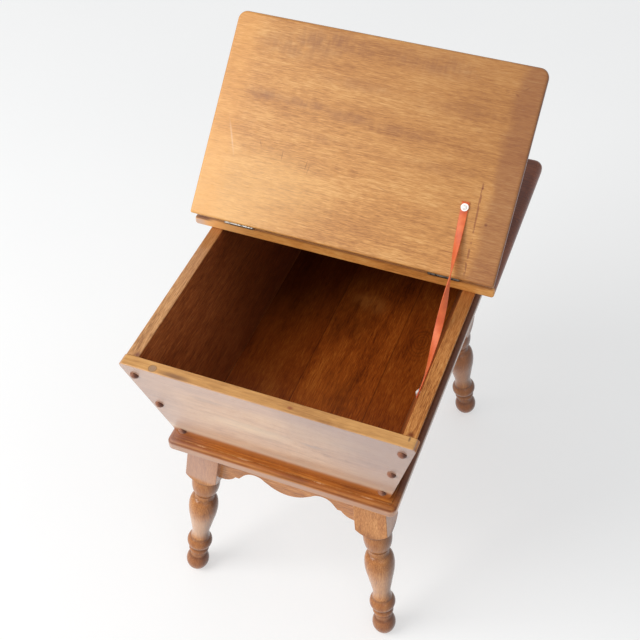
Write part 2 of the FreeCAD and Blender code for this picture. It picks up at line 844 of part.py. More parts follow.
def leaf_screw_places():
    """Return the places of the hinge screws across and behind the middle of a leaf."""
    spread = size("leaf_screw_spread")
    return [
        (-spread, size("leaf_screw_near")),
        (as_size(0), size("leaf_screw_far")),
        (spread, size("leaf_screw_near")),
    ]


def make_leaf(name, hand, side):
    """Pad a hinge leaf with its rolled knuckle, notch it and drill it."""
    body = new_body(name)
    middle = hinge_across * hand
    top = pin_height - size("hinge_rise")
    bottom = top - size("leaf_thickness")
    radius = size("knuckle_radius")
    upper = size("hinge_rise")
    lower = size("hinge_rise") + size("leaf_thickness")
    upper_meet = root(radius * radius - upper * upper)
    lower_meet = root(radius * radius - lower * lower)
    profile = sketch_on(body, "YZ_Plane", middle)
    edge = size("leaf_depth") - size("screw_clearance")
    # The knuckle is drawn as three arcs, so that none passes a half turn
    bow_one = arc_share(upper_meet.value, -upper.value, 0, radius.value)
    bow_three = arc_share(-radius.value, 0, lower_meet.value, -lower.value)
    draw_outline(profile, [
        (edge * side, bottom),
        (edge * side, top),
        (upper_meet * side, top, bow_one * side),
        (0, pin_height + radius, QUARTER_SHARE * side),
        (-radius * side, pin_height, bow_three * side),
        (lower_meet * side, bottom),
    ])
    draw_circle(profile, 0, pin_height, size("pin_radius") + size("pin_clearance"))
    pad(body, profile, size("hinge_width"), both_ways=True)
    pitch = size("hinge_width") / KNUCKLES
    notches = sketch_on(body, "XY_Plane", pin_height + radius + over)
    first = 1 if side > 0 else 0
    for number in range(first, KNUCKLES, 2):
        start = middle - size("hinge_width") / 2 + pitch * number - size("knuckle_clearance")
        stop = start + pitch + size("knuckle_clearance") * 2
        if number == 0:
            start = start - over
        if number == KNUCKLES - 1:
            stop = stop + over
        deep = radius + size("barrel_clearance")
        draw_outline(notches, [
            (start, -(radius + over) * side),
            (stop, -(radius + over) * side),
            (stop, deep * side),
            (start, deep * side),
        ])
    pocket(body, notches, (radius + over) * 2)
    holes = sketch_on(body, "XY_Plane", top)
    hole_radius = size("leaf_screw_radius") + size("screw_clearance")
    for across, behind in leaf_screw_places():
        draw_circle(holes, middle + across, behind * side, hole_radius)
    pocket(body, holes, size("leaf_thickness"))
    round_edges(
        body,
        lambda box: near(box.ZMin, top.value) and near(box.XLength, hole_radius.value * 2),
        leaf_sink(),
        "PartDesign::Chamfer",
        "Size",
    )
    return body


def leaf_sink():
    """Return the depth of a hinge screw's countersunk head."""
    return size("leaf_screw_head_radius") - size("leaf_screw_radius")


def arc_share(x_one, y_one, x_two, y_two):
    """Return the bow share of an arc about the pin between two points of the knuckle."""
    turned = abs(math.atan2(y_two, x_two) - math.atan2(y_one, x_one))
    turned = min(turned, 2 * math.pi - turned)
    return math.tan(turned / 4) / 2


def make_pin(name, hand):
    """Pad a hinge pin."""
    body = new_body(name)
    section = sketch_on(body, "YZ_Plane", hinge_across * hand)
    draw_circle(section, 0, pin_height, size("pin_radius"))
    pad(body, section, size("hinge_width") + size("pin_end") * 2, both_ways=True)
    return body


# Cleats that hold the fixed top to the side boards
def make_cleat(name, hand):
    """Pad a cleat that fits the corner of a side board and the fixed top."""
    body = new_body(name)
    outer = side_outer - side_run
    inner = outer - size("cleat_width")
    lower = rim - size("cleat_height")
    section = sketch_on(body, "XZ_Plane", -cleat_back)
    path = [
        (outer, rim),
        (outer - size("cleat_height") * side_slope, lower),
        (inner, lower),
        (inner, rim),
    ]
    draw_outline(section, [(across * hand, up) for across, up in path])
    pad(body, section, cleat_length)
    return body


# Small turned pieces, with domes that rise from a short upright edge
DOME_EDGE_SHARE = 0.25


def dome_share(radius, rise):
    """Return the bow share of half a dome whose centre lies on its axis."""
    cap = math.atan(rise.value * (1 - DOME_EDGE_SHARE) / radius.value)
    return math.tan(cap / 2) / 2


def make_plug():
    """Turn a button plug, its seat on the face at zero."""
    body = new_body("ButtonPlug")
    sketch = sketch_on(body, "XZ_Plane")
    radius, rise = size("plug_radius"), size("plug_rise")
    draw_outline(sketch, [
        (0, -size("plug_stem_length")),
        (size("plug_stem_radius"), -size("plug_stem_length")),
        (size("plug_stem_radius"), 0),
        (radius, 0),
        (radius, rise * DOME_EDGE_SHARE, dome_share(radius, rise)),
        (0, rise),
    ])
    turn(body, sketch)
    return body


def make_rod(name, radius, length, access):
    """Turn a plain rod that reaches down from zero by its length and up by its access."""
    body = new_body(name)
    sketch = sketch_on(body, "XZ_Plane")
    draw_outline(sketch, [
        (0, -length),
        (radius, -length),
        (radius, access),
        (0, access),
    ])
    turn(body, sketch)
    return body


strap_low = size("strap_seat_gap")
washer_low = strap_low * 2 + size("strap_thickness")
head_low = washer_low + size("washer_thickness")


def make_strap_screw():
    """Turn a round headed screw that holds a strap and a washer off the wood at zero."""
    body = new_body("StrapScrew")
    sketch = sketch_on(body, "XZ_Plane")
    shank, head = size("strap_screw_radius"), size("strap_screw_head_radius")
    height = size("strap_screw_head_height")
    draw_outline(sketch, [
        (0, -size("strap_screw_length")),
        (shank, size("screw_tip") - size("strap_screw_length")),
        (shank, head_low),
        (head, head_low),
        (head, head_low + height * DOME_EDGE_SHARE, dome_share(head, height)),
        (0, head_low + height),
    ])
    turn(body, sketch)
    return body


def make_washer():
    """Turn a strap washer at its height off the wood."""
    body = new_body("StrapWasher")
    sketch = sketch_on(body, "XZ_Plane")
    inner = size("strap_screw_radius") + size("screw_clearance")
    draw_outline(sketch, [
        (inner, washer_low),
        (size("washer_radius"), washer_low),
        (size("washer_radius"), head_low),
        (inner, head_low),
    ])
    turn(body, sketch)
    return body


# Places
def end_face(side, hand, depth):
    """Return a point on the outer face of an end board over a side board, and its normal."""
    lean = math.radians(size("end_flare_angle").value)
    normal = FreeCAD.Vector(0, side * math.cos(lean), -math.sin(lean))
    across = side_outer - side_run / 2 - side_slope * depth
    along = end_outer - end_slope * depth
    point = FreeCAD.Vector(hand * across.value, side * along.value, (rim - depth).value)
    return point, normal


def plug_depths():
    """Return the depths of the three plugs below the rim."""
    first, last = size("plug_first_depth"), size("plug_last_depth")
    return [first, (first + last) / 2, last]


def plug_places(side):
    """Return the places of the button plugs on one end board."""
    places = []
    for hand in (-1, 1):
        for depth in plug_depths():
            point, normal = end_face(side, hand, depth)
            places.append(facing(point, normal))
    return places


def box_screw_places(side):
    """Return the places of the screws under the button plugs of one end board."""
    places = []
    for hand in (-1, 1):
        for depth in plug_depths():
            point, normal = end_face(side, hand, depth)
            places.append(facing(point - normal * size("box_screw_depth").value, normal))
    return places


DOWN = FreeCAD.Vector(0, 0, -1)
BASE_SCREW_SHARE = 0.5
SIDE_SCREW_SHARES = (-0.6, 0, 0.6)


def base_screw_places():
    """Return the places of the screws that come up through the base board into the box."""
    places = []
    along = (end_outer - end_slope * size("box_depth") - end_run / 2).value
    across = (side_outer - side_slope * size("box_depth") - side_run / 2).value
    for side in (-1, 1):
        for hand in (-1, 1):
            point = FreeCAD.Vector(hand * across * BASE_SCREW_SHARE, side * along, under_base.value)
            places.append(facing(point, DOWN))
    for hand in (-1, 1):
        for share in SIDE_SCREW_SHARES:
            places.append(facing(FreeCAD.Vector(hand * across, share * along, under_base.value), DOWN))
    return places


BATTEN_SCREW_SHARE = 0.35


def batten_screw_places():
    """Return the places of the screws that come up through the battens."""
    places = []
    lower = (under_base - size("batten_height")).value
    for turned, reach, length in batten_sets():
        face = (reach + apron_back - under_base * splay_slope - size("batten_width") / 2).value
        for hand in (-1, 1):
            point = FreeCAD.Vector(hand * length.value * BATTEN_SCREW_SHARE, -face, lower)
            point = FreeCAD.Rotation(FreeCAD.Vector(0, 0, 1), turned).multVec(point)
            places.append(facing(point, DOWN))
    return places


def batten_sets():
    """Return the turn, reach and length of the front, right, rear and left battens."""
    shortening = under_base * splay_slope + block_half + size("batten_end_gap")
    front = (foot_across - shortening) * 2
    side = (foot_along - shortening) * 2
    return [
        (0, foot_along, front),
        (90, foot_across, side),
        (180, foot_along, front),
        (270, foot_across, side),
    ]


CLEAT_UP_SHARES = (0.12, 0.5, 0.88)
CLEAT_SIDE_SHARES = (0.3, 0.7)


def cleat_up_places():
    """Return the places of the screws that come up through the cleats into the fixed top."""
    places = []
    across = (side_outer - side_run - size("cleat_width") / 2 - size("cleat_height") * side_slope / 2).value
    lower = (rim - size("cleat_height")).value
    for hand in (-1, 1):
        for share in CLEAT_UP_SHARES:
            along = (size("cleat_start") + cleat_length * share).value
            places.append(facing(FreeCAD.Vector(hand * across, along, lower), DOWN))
    return places


def cleat_side_places():
    """Return the places of the screws that go sideways through the cleats."""
    places = []
    across = (side_outer - side_run - size("cleat_width")).value
    middle = (rim - size("cleat_height") / 2).value
    for hand in (-1, 1):
        for share in CLEAT_SIDE_SHARES:
            along = (size("cleat_start") + cleat_length * share).value
            place = FreeCAD.Vector(hand * across, along, middle)
            places.append(facing(place, FreeCAD.Vector(-hand, 0, 0)))
    return places


def leaf_screws(side):
    """Return the places of the screws of both hinge leaves on one side of the joint."""
    places = []
    for hand in (-1, 1):
        for across, behind in leaf_screw_places():
            middle = hinge_across * hand + across
            point = FreeCAD.Vector(middle.value, (behind * side).value, (rim + size("top_thickness")).value)
            places.append(facing(point, -DOWN))
    return places


def strap_lid_place():
    """Return the place of the strap's screw on the underside of the closed lid."""
    level = rim + size("lid_rest_gap")
    across = side_outer - side_run - size("strap_lid_inset")
    point = FreeCAD.Vector(across.value, -size("strap_lid_reach").value, level.value)
    return facing(point, DOWN)


def strap_wall_place():
    """Return the place of the strap's screw on the inner face of the right side board."""
    lean = math.radians(size("side_flare_angle").value)
    across = side_outer - side_run - side_slope * size("strap_wall_depth")
    level = rim - size("strap_wall_depth")
    point = FreeCAD.Vector(across.value, -size("strap_wall_reach").value, level.value)
    return facing(point, FreeCAD.Vector(-math.cos(lean), 0, math.sin(lean)))


def rim_plug_place():
    """Return the place of the plug in the front rim, leaned like the board that holds it."""
    lean = math.radians(size("end_flare_angle").value)
    inset = (size("rim_plug_radius") + size("rim_plug_margin")) / cosine(size("end_flare_angle"))
    along = end_outer - inset
    across = side_outer + size("end_overhang") - size("rim_plug_inset")
    point = FreeCAD.Vector(-across.value, -along.value, rim.value)
    return facing(point, FreeCAD.Vector(0, -math.sin(lean), math.cos(lean)))


# Strap stay: a leather strap, flat at both screws and twisted between them
STRAP_STEPS = 28
STRAP_EASE_SHARE = 0.2


def strap_section(centre, along, normal):
    """Return the outline of the strap across its length."""
    width = along.cross(normal).normalize() * (size("strap_width").value / 2)
    deep = normal * (size("strap_thickness").value / 2)
    corners = [centre - width - deep, centre + width - deep, centre + width + deep, centre - width + deep]
    return Part.makePolygon(corners + corners[:1])


def across_of(vector, along):
    """Return the unit part of a vector that is square to a direction."""
    return (vector - along * vector.dot(along)).normalize()


def make_strap():
    """Loft the strap from the wall screw to the screw on the open lid."""
    middle = size("strap_seat_gap").value + size("strap_thickness").value / 2
    tab = size("strap_tab").value
    wall = strap_wall_place()
    lid = turn_open().multiply(strap_lid_place())
    wall_normal = wall.Rotation.multVec(FreeCAD.Vector(0, 0, 1))
    lid_normal = lid.Rotation.multVec(FreeCAD.Vector(0, 0, 1))
    start = wall.Base + wall_normal * middle
    stop = lid.Base + lid_normal * middle
    along = (stop - start).normalize()
    start_along = across_of(along, wall_normal)
    stop_along = across_of(along, lid_normal)
    first, last = start + start_along * tab, stop - stop_along * tab
    ease = (last - first).Length * STRAP_EASE_SHARE
    near_first, near_last = first + start_along * ease, last - stop_along * ease
    start_up, stop_up = across_of(wall_normal, along), across_of(lid_normal, along)
    gap = math.degrees(math.atan2(start_up.cross(stop_up).dot(along), start_up.dot(stop_up)))
    half_turns = round((size("strap_twist").value - gap) / 180)
    twist = gap + 180 * half_turns
    last_normal = lid_normal * (-1) ** half_turns
    sections = [
        strap_section(start - start_along * tab, start_along, wall_normal),
        strap_section(start, start_along, wall_normal),
        strap_section(first, start_along, wall_normal),
    ]
    for step in range(1, STRAP_STEPS):
        share = step / STRAP_STEPS
        rest = 1 - share
        centre = first * rest ** 3 + near_first * (3 * rest ** 2 * share)
        centre += near_last * (3 * rest * share ** 2) + last * share ** 3
        turned = twist * share ** 2 * (3 - 2 * share)
        normal = FreeCAD.Rotation(along, turned).multVec(start_up)
        sections.append(strap_section(centre, along, normal))
    sections += [
        strap_section(last, stop_along, last_normal),
        strap_section(stop, stop_along, last_normal),
        strap_section(stop + stop_along * tab, stop_along, last_normal),
    ]
    solid = Part.makeLoft(sections, True, True)
    hole_radius = (size("strap_screw_radius") + size("screw_clearance")).value
    for place in (wall, lid):
        hole = Part.makeCylinder(hole_radius, middle * 2)
        hole.Placement = place
        solid = solid.cut(hole)
    feature = doc.addObject("Part::Feature", "StayStrap")
    feature.Shape = solid
    return feature


# Masters of the small pieces and of the holes that they need
clearance = size("screw_clearance")
wood_screw = (size("screw_radius"), size("screw_head_radius"), size("screw_head_height"))
leaf_screw = (size("leaf_screw_radius"), size("leaf_screw_head_radius"), leaf_sink())
tip = size("screw_tip")
box_screw = screw("BoxScrew", *wood_screw, size("box_screw_length"), tip)
box_hole = screw_hole("BoxHole", *wood_screw, size("box_screw_length"), size("box_screw_depth"))
base_screw = screw("BaseScrew", *wood_screw, size("base_screw_length"), tip)
base_hole = screw_hole("BaseHole", *wood_screw, size("base_screw_length"), over)
batten_screw = screw("BattenScrew", *wood_screw, size("batten_screw_length"), tip)
batten_hole = screw_hole("BattenHole", *wood_screw, size("batten_screw_length"), over)
cleat_screw = screw("CleatScrew", *wood_screw, size("cleat_screw_length"), tip)
cleat_hole = screw_hole("CleatHole", *wood_screw, size("cleat_screw_length"), over)
cleat_side_screw = screw("CleatSideScrew", *wood_screw, size("cleat_side_screw_length"), tip)
cleat_side_hole = screw_hole("CleatSideHole", *wood_screw, size("cleat_side_screw_length"), over)
hinge_screw = screw("HingeScrew", *leaf_screw, size("leaf_screw_length"), tip)
hinge_hole = screw_hole("HingeHole", *leaf_screw, size("leaf_screw_length"), over)
plug = make_plug()
plug_hole = make_rod("PlugHole", size("plug_stem_radius") + clearance, size("box_screw_depth"), over)
rim_plug = make_rod("RimPlug", size("rim_plug_radius"), size("rim_plug_length"), over)
rim_hole = make_rod("RimHole", size("rim_plug_radius") + clearance, size("rim_plug_length"), over)
strap_screw = make_strap_screw()
strap_washer = make_washer()
strap_hole = make_rod("StrapHole", size("strap_screw_radius") + clearance, size("strap_screw_length"), over)

# Stand
stand_room = make_room("StandRoom", foot_across * 4, foot_along * 4, as_size(0), under_base)
corners = {
    "front_left": (-1, -1),
    "front_right": (1, -1),
    "rear_left": (-1, 1),
    "rear_right": (1, 1),
}
squares = {}
for corner, (hand, side) in corners.items():
    blank = make_leg_blank("Blank" + corner, hand, side)
    keep("leg_" + corner, trimmed("Leg" + corner, blank, stand_room))
    squares[corner] = make_leg_square("Square" + corner, hand, side)

aprons = {
    "front": (foot_across, foot_along, 0, ("front_left", "front_right")),
    "right": (foot_along, foot_across, 90, ("front_right", "rear_right")),
    "rear": (foot_across, foot_along, 180, ("rear_left", "rear_right")),
    "left": (foot_along, foot_across, 270, ("front_left", "rear_left")),
}
for place, (spread, reach, turned, neighbours) in aprons.items():
    board = make_apron_blank("ApronBlank" + place, spread, reach, turned)
    for corner in neighbours:
        board = cut("Apron" + place + corner, board, squares[corner])
    keep("apron_" + place, trimmed("Apron" + place, board, stand_room))

batten_holes = copies("BattenHoleAt", batten_hole, batten_screw_places())
base_holes = copies("BaseHoleAt", base_hole, base_screw_places())
for place, (turned, reach, length) in zip(("front", "right", "rear", "left"), batten_sets()):
    batten = make_batten("Batten" + place, reach, length, turned)
    keep("batten_" + place, cut("Batten_" + place, batten, group("BattenHolesOf" + place, batten_holes)))
keep("batten_screws", group("BattenScrews", copies("BattenScrewAt", batten_screw, batten_screw_places())))
keep("base_board", cut("Base", make_base_board(), batten_holes + base_holes))
keep("base_screws", group("BaseScrews", copies("BaseScrewAt", base_screw, base_screw_places())))

# Box
for name, side in (("front", -1), ("rear", 1)):
    tools = copies("PlugHole" + name, plug_hole, plug_places(side))
    tools += copies("BoxHole" + name, box_hole, box_screw_places(side)) + base_holes
    if side < 0:
        tools += copies("RimHole" + name, rim_hole, [rim_plug_place()])
    board = make_end_board("EndBoard" + name, side)
    keep("end_board_" + name, cut("End" + name, board, tools))
    screws = copies("BoxScrew" + name, box_screw, box_screw_places(side))
    keep("box_screws_" + name, group("BoxScrews" + name, screws))
    plugs = copies("Plug" + name, plug, plug_places(side))
    keep("button_plugs_" + name, group("Plugs" + name, plugs))
box_room = make_room("BoxRoom", size("box_width"), size("box_length"), floor_of_box, rim)
rim_plugs = group("RimPlugs", copies("RimPlugAt", rim_plug, [rim_plug_place()]))
keep("rim_plug", trimmed("RimPlugTrimmed", rim_plugs, box_room))

all_box_places = box_screw_places(-1) + box_screw_places(1)
side_holes = copies("SideBoxHole", box_hole, all_box_places)
side_holes += copies("SideCleatHole", cleat_side_hole, cleat_side_places()) + base_holes
wall_hole = copies("WallHole", strap_hole, [strap_wall_place()])
for name, hand in (("left", -1), ("right", 1)):
    board = make_side_board("SideBoard" + name, hand)
    keep("side_board_" + name, cut("Side" + name, board, side_holes + wall_hole))

# Fixed top and its cleats
up_holes = copies("CleatHoleAt", cleat_hole, cleat_up_places())
across_holes = copies("CleatSideHoleAt", cleat_side_hole, cleat_side_places())
for name, hand in (("left", -1), ("right", 1)):
    cleat = make_cleat("Cleat" + name, hand)
    keep("top_cleat_" + name, cut("TopCleat" + name, cleat, up_holes + across_holes))
cleat_screws = copies("CleatScrewAt", cleat_screw, cleat_up_places())
cleat_screws += copies("CleatSideScrewAt", cleat_side_screw, cleat_side_places())
keep("cleat_screws", group("CleatScrews", cleat_screws))
fixed_holes = copies("FixedLeafHole", hinge_hole, leaf_screws(1)) + up_holes
keep("fixed_top", cut("FixedTop", make_top_half("FixedTopBoard", 1, as_size(0)), fixed_holes))

# Lid
lid_board = make_top_half("LidBoard", -1, size("lid_rest_gap"))
lid_holes = copies("LidLeafHole", hinge_hole, leaf_screws(-1))
lid_holes += copies("LidStrapHole", strap_hole, [strap_lid_place()])
keep("lid_panel", cut("LidPanel", lid_board, lid_holes), on_lid=True)

# Hinges
for name, hand in (("left", -1), ("right", 1)):
    keep("hinge_%s_fixed_leaf" % name, make_leaf("FixedLeaf" + name, hand, 1))
    keep("hinge_%s_lid_leaf" % name, make_leaf("LidLeaf" + name, hand, -1), on_lid=True)
    keep("hinge_%s_pin" % name, make_pin("Pin" + name, hand))
keep("fixed_leaf_screws", group("FixedLeafScrews", copies("FixedLeafScrew", hinge_screw, leaf_screws(1))))
lid_leaf_screws = copies("LidLeafScrew", hinge_screw, leaf_screws(-1))
keep("lid_leaf_screws", group("LidLeafScrews", lid_leaf_screws), on_lid=True)

# Strap stay
keep("strap_wall_screw", group("WallScrew", copies("WallScrewAt", strap_screw, [strap_wall_place()])))
keep("strap_wall_washer", group("WallWasher", copies("WallWasherAt", strap_washer, [strap_wall_place()])))
lid_screw = copies("LidScrewAt", strap_screw, [strap_lid_place()])
keep("strap_lid_screw", group("LidScrew", lid_screw), on_lid=True)
lid_washer = copies("LidWasherAt", strap_washer, [strap_lid_place()])
keep("strap_lid_washer", group("LidWasher", lid_washer), on_lid=True)
keep("stay_strap", make_strap())

doc.recompute()

# Checks, then the files
for item in doc.Objects:
    if "Invalid" in item.State or "Error" in item.State:
        raise ValueError("%s did not compute" % item.Name)
os.makedirs("parts", exist_ok=True)
for name, item in parts.items():
    shape = item.Shape
    if shape.isNull() or not shape.isValid() or shape.Volume <= 0:
        raise ValueError("%s has no valid shape" % name)
    shape.exportStep("parts/%s.step" % name)
    print(name, len(shape.Solids), round(shape.Volume / 1000, 2), shape.BoundBox)
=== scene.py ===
import math

import bmesh
import bpy
from mathutils import Matrix, Vector


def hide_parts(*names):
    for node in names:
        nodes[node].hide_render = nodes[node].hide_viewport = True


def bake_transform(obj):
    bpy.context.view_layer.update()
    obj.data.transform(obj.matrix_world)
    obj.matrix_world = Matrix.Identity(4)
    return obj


# Storage table: a flared box with a split, hinged top on four turned legs.
# Lengths are in metres, Z is up, and the lid stands open on its leather strap.
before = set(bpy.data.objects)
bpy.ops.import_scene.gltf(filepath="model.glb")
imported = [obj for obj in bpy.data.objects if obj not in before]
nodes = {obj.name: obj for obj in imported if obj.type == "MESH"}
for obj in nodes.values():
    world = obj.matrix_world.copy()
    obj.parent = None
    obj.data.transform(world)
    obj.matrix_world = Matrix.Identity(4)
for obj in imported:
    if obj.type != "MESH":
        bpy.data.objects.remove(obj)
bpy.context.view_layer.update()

# Places of the solids: the rim's height, how thick the box's boards and the top are, the hinges' line, how
# far the lid stands open, the boards' outer corners at the rim and their lean, the base board's top and step
RIM = 0.5552
BOARD = 0.018
TOP = 0.01905
HINGE_Y = -0.00935
PIN_Z = 0.5747
OPEN = math.radians(136.0)
SIDE_OUTER = 0.20305
END_OUTER = 0.2853
SIDE_LEAN = math.radians(12.9)
END_LEAN = math.radians(13.9)
BASE_TOP = 0.3611
BASE_STEP = 0.0012


# Node building
class Paint:
    """The nodes of one material."""

    def __init__(self, name):
        self.material = bpy.data.materials.new(name)
        self.material.use_nodes = True
        self.tree = self.material.node_tree
        self.tree.nodes.clear()
        coordinates = self.add("ShaderNodeTexCoord").outputs
        self.place = coordinates["Object"]
        self.normal = coordinates["Normal"]

    def add(self, kind, inputs=None, **settings):
        """Add a node, with its settings, its values and its links."""
        node = self.tree.nodes.new(kind)
        for key, setting in settings.items():
            setattr(node, key, setting)
        for key, item in (inputs or {}).items():
            if isinstance(item, bpy.types.NodeSocket):
                self.tree.links.new(item, node.inputs[key])
            else:
                node.inputs[key].default_value = item
        return node

    def math(self, operation, first, second=0.0, third=0.0, clamp=False):
        """Combine numbers."""
        inputs = {0: first, 1: second, 2: third}
        return self.add("ShaderNodeMath", inputs, operation=operation, use_clamp=clamp).outputs[0]

    def times(self, *items):
        """Multiply numbers."""
        product = items[0]
        for item in items[1:]:
            product = self.math("MULTIPLY", product, item)
        return product

    def span(self, value, low, high, first=0.0, last=1.0):
        """Carry a value smoothly from one range to another."""
        inputs = {"Value": value, "From Min": low, "From Max": high, "To Min": first, "To Max": last}
        return self.add("ShaderNodeMapRange", inputs, interpolation_type="SMOOTHSTEP").outputs[0]

    def mix(self, share, first, second, kind="MIX"):
        """Mix two colours."""
        node = self.add("ShaderNodeMix", data_type="RGBA", blend_type=kind)
        for index, item in ((0, share), (6, first), (7, second)):
            if isinstance(item, bpy.types.NodeSocket):
                self.tree.links.new(item, node.inputs[index])
            else:
                node.inputs[index].default_value = item
        return node.outputs[2]

    def ramp(self, value, stops):
        """Colour a value through stops of place and colour."""
        node = self.add("ShaderNodeValToRGB", {"Fac": value})
        band = node.color_ramp
        band.interpolation = "LINEAR"
        while len(band.elements) < len(stops):
            band.elements.new(0.5)
        for element, (place, colour) in zip(band.elements, stops):
            element.position = place
            element.color = colour
        return node.outputs["Color"]

    def moved(self, vector, shift=(0, 0, 0), turn=(0, 0, 0), scale=(1, 1, 1)):
        """Scale, turn and shift a place."""
        inputs = {"Vector": vector, "Location": shift, "Rotation": turn, "Scale": scale}
        return self.add("ShaderNodeMapping", inputs).outputs[0]

    def noise(self, vector, scale, detail=2.0, rough=0.5, warp=0.0):
        """Return soft noise from 0 to 1."""
        inputs = {"Vector": vector, "Scale": scale, "Detail": detail, "Roughness": rough, "Distortion": warp}
        return self.add("ShaderNodeTexNoise", inputs).outputs[0]

    def parts(self, vector):
        """Split a place into its three numbers."""
        return self.add("ShaderNodeSeparateXYZ", {0: vector}).outputs

    def length(self, vector):
        """Return the length of a vector."""
        return self.add("ShaderNodeVectorMath", {0: vector}, operation="LENGTH").outputs["Value"]

    def spot(self, place, centre, reach, turn=0.0):
        """Return 1 at a place, falling to 0 at its reach each way, turned about Z."""
        away = self.moved(place, shift=tuple(-part for part in centre))
        away = self.moved(away, turn=(0, 0, -turn))
        away = self.moved(away, scale=tuple(1 / part for part in reach))
        return self.span(self.length(away), 0.15, 1.0, 1.0, 0.0)

    def edges(self, radius, reach=0.12):
        """Return 1 on the edges of a piece, and 0 on its faces."""
        plain = self.add("ShaderNodeNewGeometry").outputs["Normal"]
        eased = self.add("ShaderNodeBevel", {"Radius": radius}, samples=6).outputs[0]
        same = self.add("ShaderNodeVectorMath", {0: plain, 1: eased}, operation="DOT_PRODUCT")
        return self.span(same.outputs["Value"], 1.0 - reach, 0.998, 1.0, 0.0)

    def hollows(self, distance, open_share=0.95):
        """Return 1 in grooves and corners of a piece, and 0 in the open."""
        inputs = {"Distance": distance}
        node = self.add("ShaderNodeAmbientOcclusion", inputs, samples=8, only_local=True)
        return self.span(node.outputs["AO"], 0.45, open_share, 1.0, 0.0)

    def finish(self, colour, rough, height, depth, **sockets):
        """Join the maps to the shader. Plain values go on the shader's own sockets."""
        inputs = {"Base Color": colour, "Roughness": rough}
        inputs.update({key.replace("_", " "): item for key, item in sockets.items()})
        shader = self.add("ShaderNodeBsdfPrincipled", inputs)
        bump = self.add("ShaderNodeBump", {"Height": height, "Distance": depth, "Strength": 0.8})
        self.tree.links.new(bump.outputs[0], shader.inputs["Normal"])
        self.tree.links.new(bump.outputs[0], shader.inputs["Coat Normal"])
        self.add("ShaderNodeOutputMaterial", {"Surface": shader.outputs[0]})
        return self.material


def shade(red, green, blue):
    """Return a colour given as it shows on a screen, from 0 to 255."""
    plain = []
    for part in (red, green, blue):
        part /= 255.0
        plain.append(part / 12.92 if part <= 0.04045 else ((part + 0.055) / 1.055) ** 2.4)
    return (*plain, 1.0)


# Wood
ALONG_X = (0.0, 0.0, 0.0)
ALONG_Y = (0.0, 0.0, math.radians(-90))
ALONG_Z = (0.0, math.radians(90), 0.0)
TONE_PLACES = (0.24, 0.5, 0.76)
RINGS_PER_METRE = 210.0
RING_WANDER = 0.035
PLAIN_ROUGH = 0.30
STREAK_ROUGH = 0.14
GRAIN_DEPTH = 0.00015


